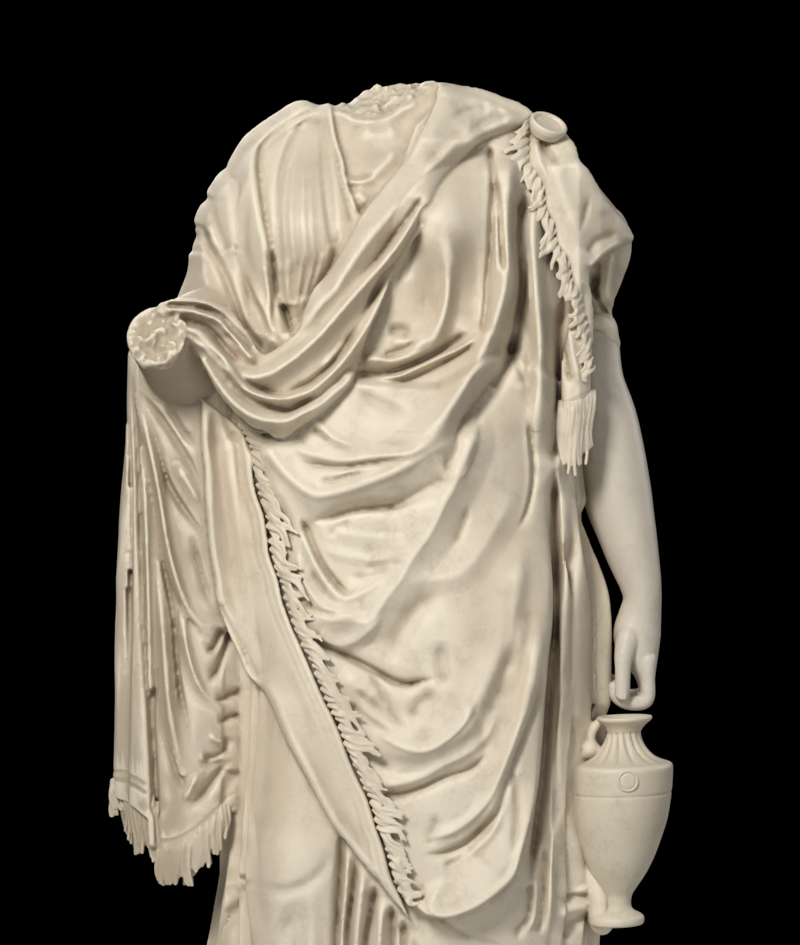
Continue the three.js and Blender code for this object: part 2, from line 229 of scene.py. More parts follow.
def within(points, x=None, z=None):
    """The distance into a closed outline: positive inside it, negative outside."""
    x, z = (GX, GZ) if x is None else (x, z)
    away = np.full(x.shape, 1e9)
    odd = np.zeros(x.shape, bool)
    for (ax, az), (bx, bz) in zip(points, list(points[1:]) + [points[0]]):
        dx, dz = bx - ax, bz - az
        t = np.clip(((x - ax) * dx + (z - az) * dz) / (dx * dx + dz * dz + 1e-9), 0, 1)
        away = np.minimum(away, np.hypot(x - ax - t * dx, z - az - t * dz))
        if dz:
            odd ^= ((az > z) != (bz > z)) & (x < ax + (z - az) * dx / dz)
    return np.where(odd, away, -away)


def softened(sheet, reach):
    """The sheet averaged over about `reach` mm, by three passes of a running mean."""
    k = max(1, round(reach / STEP))
    for _ in range(3):
        for axis in (0, 1):
            padded = np.concatenate([sheet.take([0] * (k + 1), axis), sheet, sheet.take([-1] * k, axis)],
                axis)
            total = np.cumsum(padded, axis)
            count = sheet.shape[axis]
            sheet = (total.take(range(2 * k + 1, 2 * k + 1 + count), axis) - total.take(range(count),
                axis)) / (2 * k + 1)
    return sheet


def deepened(sheet, depth, crisp, reach=9):
    """The same folds cut deeper, and sharper where they turn."""
    return depth * sheet + crisp * (sheet - softened(sheet, reach))


print("strokes ready")

# %% [markdown]
# ## The body forms
#
# Under the folds is a plain form: one oval section after another from the hem to the neck. Each row of the table
# gives a height, the left and right edges, the depth of the widest point, and how far the section reaches to the
# front and to the back. The breasts, belly, thighs and knee are soft swellings added to the front.

# %% The body forms
SECTIONS = np.array(
    [
        [60, -230, 250, 30, 178, 150],
        [200, -238, 254, 30, 178, 148],
        [350, -240, 258, 34, 186, 146],
        [465, -237, 261, 42, 196, 140],
        [534, -225, 267, 46, 202, 136],
        [600, -214, 264, 50, 206, 132],
        [700, -210, 268, 52, 204, 130],
        [800, -206, 274, 48, 198, 128],
        [900, -215, 270, 36, 182, 130],
        [1000, -232, 253, 22, 162, 131],
        [1100, -238, 246, 10, 142, 126],
        [1200, -225, 242, 4, 126, 112],
        [1300, -200, 240, 0, 116, 108],
        [1400, -205, 232, 2, 110, 106],
        [1450, -206, 236, 8, 100, 100],
        [1486, -199, 240, 14, 86, 92],
        [1505, -184, 236, 16, 78, 86],
        [1524, -160, 224, 18, 72, 78],
        [1537, -142, 204, 20, 68, 72],
        [1549, -118, 180, 20, 64, 66],
        [1558, -92, 160, 20, 60, 60],
        [1568, -62, 134, 20, 55, 55],
        [1579, -42, 106, 18, 48, 50],
        [1584, -34, 84, 18, 42, 46],
    ],
    float,
)
FORMS = [
    # name, middle (x, z), spread (x, z), how far it swells forward
    ("right breast", (-116, 1388), (54, 62), 44),
    ("left breast", (64, 1398), (56, 60), 40),
    ("belly", (-4, 1120), (110, 90), 30),
    ("right thigh", (-130, 730), (70, 190), 36),
    ("right knee", (-146, 590), (60, 84), 30),
    ("left thigh", (100, 860), (88, 220), 22),
]


def section(z, column):
    """A smooth line through one column of the table."""
    knots, values = SECTIONS[:, 0], SECTIONS[:, column]
    slopes = np.gradient(values, knots)
    k = np.clip(np.searchsorted(knots, z) - 1, 0, len(knots) - 2)
    span = knots[k + 1] - knots[k]
    t = np.clip((z - knots[k]) / span, 0, 1)
    low = values[k] * (1 + 2 * t) * (1 - t) ** 2 + slopes[k] * span * t * (1 - t) ** 2
    return low + values[k + 1] * t * t * (3 - 2 * t) - slopes[k + 1] * span * t * t * (1 - t)


def swelling(x, z):
    return sum(up * np.exp(-(((x - mx) / rx) ** 2) - ((z - mz) / rz) ** 2) for _, (mx, mz), (rx, rz),
        up in FORMS)


def body_front(x, z, margin=0.0):
    """The body's front at (x, z). Past the body's edges it goes on flat, from `margin` inside them."""
    left, right, widest_y, front = [section(z, k) for k in (1, 2, 3, 4)]
    half = (right - left) / 2
    share = (np.clip(x, left + margin, right - margin) - (left + right) / 2) / half
    bulge = np.clip(1 - np.abs(share) ** 2.3, 0, 1) ** (1 / 2.3)
    return widest_y - front * bulge - swelling(x, z) * np.clip(3 * bulge, 0, 1)


print("hem to neck:", SECTIONS[0, 0], "to", SECTIONS[-1, 0], "mm")

# %% [markdown]
# ## The outlines of the cloth
#
# Five lines on the pane say which cloth lies where: the left edge of the mantle's front border, its fringe, the
# mantle's edge over the right shoulder, the tunic's neckline, and the lower edge of the apron. Later strokes and
# layers follow these lines.

# %% The outlines
FLAP_LEFT = [(-250,1178),(-249,1118),(-246,1082),(-244,1035),(-239,979),(-233,943),(-229,915),(-217,879),
    (-203,846),(-189,816),(-165,790),(-139,731),(-119,695),(-100,659),(-78,620),(-58,595),(-39,570),
    (-19,548),(0,523),(19,501),(30,482),(37,465)]
FRINGE = [(-190,1140),(-175,1112),(-172,1082),(-167,1054),(-158,1029),(-153,1001),(-150,974),(-139,943),
    (-133,915),(-122,885),(-111,860),(-100,835),(-89,810),(-78,785),(-67,763),(-56,737),(-45,706),(-34,681),
        (-22,656),(-11,620),(-3,598),(5,567),(14,542),(22,526)]
MANTLE_EDGE = [(-89,1559),(-116,1544),(-141,1530),(-158,1515),(-171,1500),(-174,1477),(-170,1442),
    (-165,1407),(-158,1372),(-153,1320),(-141,1286),(-130,1258)]
V_LEFT = [(-80,1558),(-73,1515),(-63,1483),(-59,1459),(-41,1414)]
HEM_SWAG = [(20,520),(40,506),(59,499),(78,501),(98,507),(117,517),(145,537),(161,556),(172,590),(182,626),
    (192,670),(197,723),(203,799),(206,841),(210,882),(211,924),(211,963),(209,1007),(210,1085)]

# %% [markdown]
# ## The mantle's apron
#
# The mantle is wrapped round the hips as an apron, so it stands a finger's width in front of the tunic. An outline
# lifts the whole area before any fold is cut into it.

# %% The mantle's apron
cloth = blank()
apron = within([(-185,1150),(-60,1200),(60,1190),(150,1240),(215,1200),(222,1085),(214,960),(210,840),
    (196,700),(186,600),(165,560),(120,517),(78,500),(40,505),(22,520),(0,580),(-30,680),(-80,790),
    (-130,910),(-160,1040)])
cloth += 9 * ease(-6, 8, apron)

# %% [markdown]
# ## The pleated tunic on the chest
#
# The tunic is thin cloth, so its pleats are many, fine and shallow, and they fan out from the neckline. A `fan` of
# grooves between two lines keeps them flowing together.

# %% The pleated tunic on the chest
fan(cloth, [(-92,1552),(-86,1500),(-78,1440),(-74,1385),(-84,1345)],[(-104,1550),(-126,1505),(-138,1440),
    (-138,1385),(-128,1330)],
    8,3.2,4.2,(.08,.15),seed=3)
fan(cloth, [(-118,1540),(-138,1500),(-150,1450),(-152,1390),(-146,1330)],
    [(-106,1549),(-130,1505),(-143,1450),(-144,1385),(-134,1320)],
    3,3.4,4.2,(.1,.2),seed=4)
for points, depth, width in (
    ([(-97,1542),(-93,1480),(-86,1425),(-78,1371)],3.4,3.2),
    ([(-82,1552),(-73,1498),(-62,1444),(-52,1402)],3.6,2.8),
    ([(-70,1400),(-78,1357),(-100,1313),(-122,1271)],7,4),
    ([(-60,1388),(-84,1340),(-108,1300),(-121,1276)],4,3.4),
    ([(-93,1376),(-102,1335),(-114,1298),(-124,1271)],7,4),
    ([(-111,1370),(-116,1327),(-124,1285),(-127,1268)],6,3.8),
    ([(-129,1362),(-131,1320),(-130,1276)],5,4),
    ([(-144,1352),(-143,1320),(-136,1284)],5,4),
    ([(-86,1366),(-92,1340),(-106,1306)],3.4,3),
    ([(-103,1372),(-109,1340),(-119,1305)],3.4,3),
    ([(-121,1368),(-124,1335),(-127,1300)],3.4,3),
):
    groove(cloth, points, depth, width, (.3,.05))

# %% [markdown]
# ## The neck opening
#
# Skin shows in the V of the neckline, a little lower than the cloth, with the cloth bunched where the V closes.

# %% The neck opening
v = within([(-80,1558),(-73,1515),(-63,1483),(-59,1459),(-41,1414),(-12,1445),(12,1477),(30,1530),(60,1560),
    (60,1590),(-80,1590)])
cloth -= 7.5*ease(-1.5,2.5,v)
ridge(cloth, beside(V_LEFT,-3,0),2,3.2,(.05,.1))
bump(cloth, [(-78,1550),(-62,1544),(-46,1537),(-19,1537),(0,1543),(14,1552),(36,1562)],3.4,5,(.05,.1))
bump(cloth, [(-64,1462),(-48,1457),(-30,1460),(-20,1468)],5,4,(.2,.3))
bump(cloth, [(-52,1446),(-40,1436),(-34,1424)],6,9,(.3,.3))
groove(cloth, [(-59,1459),(-50,1438),(-41,1414)],4,2.6,(.2,.1))
bump(cloth, [(-30,1462),(-14,1478),(10,1502)],7,9,(.2,.3))
bump(cloth, [(-50,1530),(-20,1520),(14,1528)],4,16,(.3,.3))

# %% [markdown]
# ## The mantle on the right shoulder
#
# The mantle hangs from the shoulder as a second layer. Its rolled edge casts a shadow into a channel that was cut
# with a running drill, and its folds are pulled towards the bent forearm.

# %% The mantle on the right shoulder
mantle = within(MANTLE_EDGE+[(-130,1200),(-260,1200),(-300,1350),(-260,1500),(-150,1580),(-95,1572)])
cloth += 9*ease(-1,3,mantle)
groove(cloth, MANTLE_EDGE,8,2.8,(.2,.03))
ridge(cloth, beside(MANTLE_EDGE,-9,-1),7,(9,14),(.1,.1))
bump(cloth, [(-190,1500),(-188,1420),(-178,1340),(-168,1290),(-148,1250)],7,13,(.3,.15))
bump(cloth, [(-152,1256),(-134,1252),(-118,1258),(-106,1268)],22,(16,18),(0,0))
bump(cloth, [(-214,1484),(-210,1420),(-200,1350),(-188,1290)],5,11,(.3,.3))
for points, height, width in (
    ([(-246,1396),(-238,1391),(-232,1368),(-217,1342),(-208,1320),(-198,1293),(-186,1271),(-166,1249)],
    10,(12,9)),
    ([(-200,1370),(-192,1345),(-178,1313),(-166,1291),(-159,1271),(-142,1252)],9,(9,7)),
    ([(-250,1366),(-246,1350),(-240,1325),(-226,1303)],5,(8,14)),
    ([(-166,1345),(-160,1318),(-158,1290),(-150,1262)],7,(7,5)),
):
    ridge(cloth, points, height, width, (.05,.1))
for points, depth, width in (
    ([(-254,1402),(-245,1395),(-239,1376),(-224,1351),(-215,1332),(-207,1310),(-200,1291),(-193,1271),
    (-181,1252),(-166,1235)],14,(5,6)),
    ([(-205,1378),(-193,1342),(-181,1305),(-166,1276),(-157,1259),(-142,1249)],7,4),
    ([(-159,1371),(-155,1344),(-154,1320),(-154,1300),(-153,1271),(-147,1254)],8,3.4),
    ([(-142,1300),(-142,1293),(-135,1276),(-131,1259)],12,4.4),
    ([(-236,1440),(-228,1400),(-214,1366)],4,5),
):
    groove(cloth, points, depth, width, (.12,.05))

# %% [markdown]
# ## The left breast and the girdle
#
# Cloth pulled over the breast breaks into a curved fold below it, and the girdle under the mantle gathers thin
# sickle-shaped folds.

# %% The left breast and the girdle
bump(cloth, [(60,1400),(71,1370),(73,1338),(66,1293),(50,1262),(26,1242),(-16,1229)],9,(13,15),(.25,.2))
bump(cloth, [(22,1400),(38,1350),(46,1300),(30,1272)],-6,14,(.3,.3))
bump(cloth, [(100,1400),(108,1340),(104,1285),(92,1262)],-5,14,(.3,.2))
groove(cloth, [(44,1420),(30,1380),(14,1345),(2,1312)],4,4,(.2,.3))
groove(cloth, [(36,1400),(26,1360),(14,1325)],3,3.4,(.2,.3))
ridge(cloth, [(-44,1226),(-18,1226),(4,1225),(28,1234),(50,1247),(62,1266),(69,1291),(72,1320),(70,1358)],
    13,(11,15),(.1,.35))
ridge(cloth, [(-30,1204),(4,1203),(28,1213),(60,1228),(89,1240),(112,1256)],8,(6,7),(.15,.15))
groove(cloth, [(-52,1208),(-21,1207),(1,1212),(28,1221),(52,1232),(76,1247),(101,1262)],13,(4.5,3.6),
    (.08,.12))
groove(cloth, [(-20,1199),(11,1198),(40,1208),(64,1220),(101,1242),(112,1250)],9,3.0,(.2,.15))
groove(cloth, [(-18,1228),(4,1236),(18,1241),(38,1252)],6,3.4,(.2,.3))
groove(cloth, [(-16,1228),(10,1233),(38,1240),(60,1252)],4,4,(.2,.3))
bump(cloth, [(-8,1262),(12,1264),(26,1256)],-6,7,(.3,.3))
bump(cloth, [(-4,1246),(12,1250),(28,1247)],4,6,(.3,.3))

# %% [markdown]
# ## The long fold from the left shoulder
#
# One heavy fold drops from the left shoulder, widens and sweeps across the body. It needs a broad swelling, then
# a crisper crest, and then deep channels at both sides.

# %% The long fold from the left shoulder
bump(cloth, [(150,1500),(148,1407),(150,1338),(139,1286),(124,1241),(99,1196),(71,1154),(36,1118),(0,1092)],
    21,(15,30),(.08,.25))
ridge(cloth, [(146,1440),(148,1380),(146,1320),(132,1270),(112,1225),(88,1183),(60,1146),(24,1112)],
    9,(12,16),(.3,.3))
groove(cloth, [(124,1508),(130,1480),(131,1440),(129,1400),(127,1365),(124,1330),(121,1286),(114,1253)],
    11,4.4,(.06,.08))
groove(cloth, [(132,1465),(137,1435),(140,1400),(143,1359),(146,1334)],8,3.2,(.15,.15))
ridge(cloth, [(132,1440),(135,1405),(136,1360),(137,1330)],5,5,(.2,.3))
groove(cloth, [(174,1452),(168,1421),(165,1390),(168,1355),(171,1321),(165,1286),(158,1250),(150,1222),
    (140,1202)],24,9.5,(.12,.18))
groove(cloth, [(163,1272),(157,1244),(147,1218),(132,1195),(116,1174),(103,1156),(92,1132),(82,1108),
    (66,1074)],15,(10,7),(.18,.15))
groove(cloth, [(157,1232),(168,1206),(174,1190)],6,3.5,(.1,.3))
bump(cloth, [(184,1455),(182,1390),(184,1338),(190,1286),(193,1235),(191,1165),(190,1100)],13,(13,13),
    (.15,.2))
ridge(cloth, [(180,1360),(184,1320),(190,1270),(191,1220),(188,1180)],5,8,(.3,.3))
groove(cloth, [(226,1310),(218,1269),(218,1217),(216,1165),(212,1113),(211,1085)],16,6.5,(.15,.1))
groove(cloth, [(200,1452),(204,1400),(214,1350),(224,1316)],5,7,(.3,.3))
bump(cloth, [(172,1300),(178,1250),(178,1200),(176,1150)],-6,7,(.3,.3))

# %% [markdown]
# ## Swags across the belly
#
# Between two points that hold it, cloth hangs in loops. Each loop is a ridge whose lower side is steep and whose
# upper side is long.

# %% Swags across the belly
BELLY_CREST = [(-176,1134),(-168,1118),(-153,1096),(-135,1074),(-114,1057),(-99,1050),(-82,1051),(-58,1057),
    (-29,1067),(1,1079),(30,1095),(60,1117),(83,1141),(104,1167)]
UNDER_BELLY = [(-112,1012),(-79,1020),(-49,1029),(-20,1032),(7,1035),(36,1047),(60,1055),(78,1061)]
ridge(cloth, BELLY_CREST,24,(40,38),(.1,.2),sharp=1.3)
ridge(cloth, [(-160,1085),(-146,1056),(-128,1025),(-109,991),(-90,960),(-74,934),(-58,926)],8,(14,22),(.2,.2))
groove(cloth, UNDER_BELLY,13,(10,3),(.25,.08))
ridge(cloth, [(-129,1117),(-120,1108),(-102,1101),(-82,1096),(-58,1094),(-34,1097),(-8,1100),(19,1103),
    (36,1110),(60,1126)],9,(16,9),(.12,.3))
groove(cloth, [(-122,1096),(-106,1090),(-93,1088),(-70,1086),(-49,1088),(-23,1092),(1,1096),(20,1100)],
    7,4,(.2,.3))
ridge(cloth, [(-92,1078),(-76,1077),(-58,1079),(-29,1085),(-5,1089)],5,(8,6),(.3,.3))
groove(cloth, [(-97,1071),(-90,1070),(-79,1067),(-64,1072),(-49,1077),(-30,1082)],6,3.4,(.2,.35))
ridge(cloth, [(-108,1150),(-96,1141),(-79,1126),(-61,1117),(-44,1112)],6,(6,8),(.2,.3))
groove(cloth, [(-104,1138),(-92,1126),(-78,1117)],4,3.4,(.2,.4))
groove(cloth, [(-50,1190),(-28,1176),(-6,1166),(16,1158),(30,1156)],5,(6,8),(.3,.4))
groove(cloth, [(106,1160),(99,1148),(94,1136),(89,1121),(84,1104)],12,6,(.3,.35))
ridge(cloth, [(114,1152),(104,1120),(98,1091),(88,1068)],6,(5,4),(.2,.2))
groove(cloth, [(93,1112),(86,1092),(80,1073)],5,3,(.2,.3))
ridge(cloth, [(56,1064),(66,1062),(78,1060)],4,(4,4),(.2,.2))

# %% [markdown]
# ## Folds below the belly
#
# The loops tighten towards a point over the thighs, where the cloth is pulled from the left hip.

# %% Folds below the belly
ridge(cloth, [(122,1160),(107,1129),(95,1097),(80,1061),(66,1035),(48,999),(27,970),(10,940),(-8,917),
    (-24,893),(-35,887),(-58,889),(-82,890),(-99,895),(-116,906)],22,(30,52),(.12,.08),sharp=1.35)
ridge(cloth, [(160,1070),(150,1040),(136,1014),(119,985),(98,958),(80,946),(42,940),(7,929)],9,(24,30),
    (.25,.3))
bump(cloth, [(70,930),(36,905),(19,881),(4,855),(0,825)],-8,13,(.3,.3))
for points, height, width, fade in (
    ([(-116,1000),(-105,973),(-90,943),(-76,926),(-61,917),(-40,923),(-18,937),(2,952)],8,(8,9),(.15,.4)),
    ([(-124,985),(-120,960),(-114,937),(-96,911),(-76,899),(-49,895),(-20,902)],6,(8,7),(.15,.35)),
    ([(-96,985),(-70,973),(-40,967),(-5,965),(19,970)],4,(13,10),(.2,.3)),
    ([(-90,1012),(-60,1000),(-20,994),(20,996)],3,(10,12),(.3,.3)),
    ([(-104,866),(-87,858),(-70,855),(-49,861),(-29,876),(-10,897)],11,(20,13),(.1,.3)),
):
    ridge(cloth, points, height, width, fade)
for points, depth, width, fade in (
    ([(-119,1022),(-111,1005),(-102,982),(-93,964),(-79,943),(-64,926),(-55,923),(-43,930)],11,4,(.15,.25)),
    ([(-108,958),(-98,938),(-84,920),(-66,908)],5,3.4,(.3,.3)),
    ([(-43,954),(-23,958),(1,963),(19,963)],3.5,5,(.3,.3)),
    ([(-60,945),(-30,947),(4,957)],3,5,(.3,.3)),
    ([(-85,996),(-70,1008),(-50,1014)],3,6,(.3,.3)),
    ([(-116,909),(-100,901),(-80,897),(-55,897)],4,3,(.1,.4)),
    ([(-110,874),(-93,856),(-70,845),(-46,833),(-23,821),(1,808),(21,804),(42,809),(60,812)],13,(4.4,3.6),
    (.12,.2)),
    ([(-33,820),(-17,802),(-8,781),(1,761),(13,740)],5,(5,4),(.2,.4)),
    ([(-58,784),(-40,765),(-18,750),(6,740)],4,3.2,(.2,.4)),
    ([(100,1040),(92,1010),(78,980)],3,5,(.3,.3)),
):
    groove(cloth, points, depth, width, fade)
for points, height, width in (
    ([(57,799),(36,778),(19,755)],-5,10),
    ([(64,864),(63,834),(69,796)],-5,9),
    ([(160,864),(148,825),(128,784),(107,746)],-7,11),
    ([(-70,822),(-40,800),(-14,778)],4,14),
    ([(170,900),(160,840),(140,790)],4,8),
):
    bump(cloth, points, height, width, (.3,.3))

# %% [markdown]
# ## Over the left thigh
#
# The thigh fills the cloth, so the folds here are broad and low and wrap round it.

# %% Over the left thigh
groove(cloth, [(176,1150),(180,1123),(183,1085),(180,1054),(172,1024),(161,1001)],6,3.4,(.15,.2))
ridge(cloth, [(171,1150),(175,1110),(177,1070),(172,1035),(160,1008)],4,6,(.2,.2))
bump(cloth, [(166,1000),(160,930),(146,850),(124,790),(98,752),(67,729),(40,718),(8,722),(-30,742)],
    10,(14,26),(.15,.15))
ridge(cloth, [(110,790),(95,758),(67,731),(40,719),(12,724),(-25,742)],6,(5,16),(.2,.2))
groove(cloth, [(-50,800),(-28,780),(0,760),(22,745)],4,5,(.2,.3))
bump(cloth, [(190,900),(184,830),(172,770),(156,715),(144,668),(124,632),(100,610)],11,(12,18),(.2,.2))
ridge(cloth, [(-18,672),(12,676),(39,684),(67,700),(98,716),(124,740),(142,780)],7,(16,8),(.1,.25))
groove(cloth, [(-16,659),(12,662),(39,671),(67,684),(100,695),(125,716)],9,(4,6),(.05,.2))
bump(cloth, [(-40,716),(-20,704),(4,690)],-5,8,(.2,.4))
groove(cloth, [(100,790),(116,740),(118,700)],3,8,(.3,.3))
ridge(cloth, [(30,602),(70,610),(100,628),(124,656),(140,690),(156,730),(174,780)],8,(16,6),(.2,.2))
groove(cloth, [(36,583),(66,586),(92,597),(112,614),(135,642),(149,681),(160,714),(173,750),(185,784),
    (195,827)],11,(4,7),(.15,.15))
ridge(cloth, [(70,572),(100,586),(128,612),(146,650)],6,7,(.3,.3))
groove(cloth, [(64,566),(90,580),(112,602)],5,3.4,(.2,.3))
groove(cloth, [(152,700),(162,660),(160,620),(154,580)],5,5,(.2,.3))
groove(cloth, [(60,640),(50,610),(46,590)],2.5,6,(.3,.3))

# %% [markdown]
# ## The apron's lower edge
#
# The apron ends in a turned-under fold. Behind it the mantle's border goes on, with two incised lines.

# %% The apron's lower edge
lip(cloth, HEM_SWAG,15,6,60,(.04,.3))
ridge(cloth, beside(HEM_SWAG[:12],-3,9),6,(12,8),(.08,.2))
for p in ([(37,548),(50,512),(78,487),(111,473),(150,462)],[(24,548),(37,529),(56,504),(84,482),(110,466)]):
    groove(cloth, p,2.2,1.3,(.05,.1))

# %% [markdown]
# ## The drilled channels at the left hip
#
# At the side the mantle falls straight down in narrow upright folds. The channels between them are the deepest on
# the statue.

# %% The drilled channels at the left hip
groove(cloth, [(211,1090),(209,1007),(211,963),(211,924),(210,882),(206,841),(203,799),(199,740),(196,700),
    (192,660),(188,626),(183,584),(180,542)],
       24,(6,5.5),(.08,.12))
groove(cloth, [(245,1050),(247,979),(251,938),(254,882),(254,813),(256,760),(255,735)],17,4.2,(.1,.12))
bump(cloth, [(222,1085),(224,1000),(224,900),(223,820),(217,740),(214,680),(210,600),(206,540),(204,470)],
    9,(7,7),(.1,.1))
bump(cloth, [(238,1050),(239,960),(241,880),(241,800),(238,740)],7,(6,6),(.1,.1))
bump(cloth, [(262,985),(266,900),(266,820),(266,760)],6,6,(.1,.1))
groove(cloth, [(231,1020),(232,930),(232,850),(228,780)],6,4,(.2,.2))
groove(cloth, [(222,815),(218,790),(214,750),(212,700),(213,640),(209,600)],9,4,(.15,.2))
bump(cloth, [(230,760),(230,700),(228,640),(236,590),(244,560)],6,7,(.2,.2))
groove(cloth, [(196,600),(197,560),(194,520),(190,470)],5,4,(.2,.2))
groove(cloth, [(179,545),(180,520),(176,500),(165,485),(163,468)],7,4,(.1,.2))
ridge(cloth, [(187,560),(187,530),(184,500),(176,480)],5,6,(.2,.2))

# %% [markdown]
# ## The gathered tip under the urn
#
# The mantle's corner is pulled out in a small gathered tip that bears the urn's foot.

# %% The gathered tip under the urn
groove(cloth, [(220,516),(230,526),(246,530),(266,531)],8,3.2,(.1,.1))
groove(cloth, [(224,470),(232,488),(244,504),(268,522)],7,4,(.1,.1))
bump(cloth, [(236,540),(250,532),(268,528)],6,9,(.2,.1))
bump(cloth, [(216,500),(236,512),(256,516)],5,7,(.2,.2))

# %% [markdown]
# ## The tunic over the knee
#
# Below the mantle the bent right leg presses through the thin tunic, and between the legs the tunic falls in deep
# tubes.

# %% The tunic over the knee
for x,d,w in ((-200,4,4),(-194,5,2.4),(-184,3,2.2),(-176,2,2)):
    groove(cloth, [(x+3,820),(x+1,720),(x,640),(x+2,560)],d,w,(.1,.15))
groove(cloth, [(-190,548),(-198,520),(-206,500),(-214,470),(-220,400),(-222,300)],11,5,(.06,.25))
bump(cloth, [(-192,549),(-187,544)],-7,5,(0,0))
groove(cloth, [(-212,600),(-220,540),(-228,490),(-232,400)],5,4,(.25,.3))
bump(cloth, [(-204,560),(-212,500),(-222,420),(-226,300)],7,6,(.2,.3))
bump(cloth, [(-189,548),(-158,537),(-131,537),(-103,550),(-86,570),(-79,597)],-2.5,8,(.3,.3))
bump(cloth, [(-120,525),(-150,470),(-170,400)],-4,12,(.3,.3))
groove(cloth, [(-68,640),(-66,590),(-70,530),(-73,465),(-78,360),(-80,250),(-82,120)],15,6,(.15,.1))
groove(cloth, [(-46,590),(-50,540),(-56,500),(-58,465),(-60,360),(-60,240),(-60,120)],13,5,(.1,.1))
bump(cloth, [(-58,600),(-60,540),(-66,470),(-69,350),(-71,200)],6,4,(.1,.1))
bump(cloth, [(-38,570),(-42,520),(-46,460),(-46,330),(-46,150)],10,7,(.1,.1))
groove(cloth, [(-22,545),(-28,505),(-36,465),(-38,380),(-36,250),(-34,120)],14,5.5,(.05,.1))
groove(cloth, [(-2,520),(0,490),(0,460),(-4,370),(-6,250),(-6,120)],12,5,(.05,.1))
bump(cloth, [(-12,530),(-16,480),(-18,400),(-20,250),(-20,120)],9,6,(.1,.1))
groove(cloth, [(14,500),(15,465),(14,380),(18,260),(20,120)],13,5,(.05,.1))
groove(cloth, [(26,478),(30,440),(34,360),(38,250),(42,120)],10,5,(.1,.1))

# %% [markdown]
# ## The skirt down to the plinth
#
# The skirt ends plainly: the same upright folds run down to the hem.

# %% The skirt down to the plinth
for x0,x1,h,w in ((-205,-214,8,10),(-150,-165,9,20),(-105,-118,7,11),(56,70,11,12),(96,112,12,13),
    (140,156,11,13),(186,200,11,12),(228,238,9,10)):
    top=600 if x0<-100 else 470
    bump(cloth, [(x0,top-40),(x0,top-110),((x0+x1)/2,260),(x1,90)],h,w,(.3,.05))
for x0,x1,h,w in ((-128,-142,9,8),(-182,-196,8,7),(76,90,12,7),(118,134,12,7),(163,178,12,7),(208,220,11,6)):
    top=520 if x0<-100 else 450
    groove(cloth, [(x0,top-20),(x0,top-110),((x0+x1)/2,260),(x1,90)],h,w,(.3,.05))
cloth = deepened(cloth, 1.4, 0.4)
print("cloth stands", cloth.min().round(1), "to", cloth.max().round(1), "mm from the body forms")

# %% [markdown]
# ## The roll across the chest
#
# The mantle's upper edge is rolled and thrown from the left shoulder across the chest, and it hangs in a loop before
# it goes over the right forearm. It is a thick layer of its own, so it gets its own sheet: one wide smooth band
# above, then thinner folds that run side by side round the loop like the strings of a necklace.

# %% The roll across the chest
roll = blank()
UPPER_CREST = [(36,1418),(13,1383),(-11,1351),(-33,1327),(-55,1303),(-74,1281),(-93,1259),(-108,1245),
    (-125,1230),(-142,1218),(-159,1208),(-183,1202),(-200,1205),(-217,1223),(-232,1237),(-249,1250),
    (-263,1257),(-286,1262)]
MIDDLE_CREST = [(12,1345),(1,1326),(-13,1303),(-30,1271),(-50,1242),(-69,1218),(-89,1198),(-108,1184),
    (-127,1178),(-147,1175),(-171,1178),(-188,1185),(-205,1198),(-220,1218),(-239,1240),(-262,1252)]
LOWER_CREST = [(-46,1214),(-58,1196),(-75,1182),(-93,1167),(-118,1155),(-137,1146),(-157,1146),(-171,1148),
    (-190,1156),(-210,1172),(-227,1194),(-241,1216),(-254,1238)]
for points, height, width, fade in (
    ([(130,1548),(84,1512),(40,1464),(2,1420),(-30,1382),(-62,1337),(-74,1317),(-93,1298),(-113,1276),
    (-134,1256),(-160,1238)],11,(26,22),(.08,.12)),
    (UPPER_CREST,17,(22,15),(.05,.05)),
    (MIDDLE_CREST,17,(13,12),(.06,.05)),
    (LOWER_CREST,17,(17,17),(.06,.06)),
    ([(-52,1256),(-69,1238),(-84,1222),(-97,1208)],6,(7,7),(.3,.3)),
    ([(-300,1302),(-263,1302),(-239,1298),(-220,1285),(-205,1266)],9,(9,6),(.1,.3)),
    ([(-298,1293),(-263,1291),(-249,1286),(-227,1278),(-212,1262),(-200,1247),(-183,1228),(-172,1221)],
    12,(8,9),(.06,.1)),
    ([(-292,1274),(-263,1266),(-249,1261),(-232,1247),(-217,1228),(-204,1212)],12,(8,9),(.06,.2)),
):
    ridge(roll, points, height, width, fade)
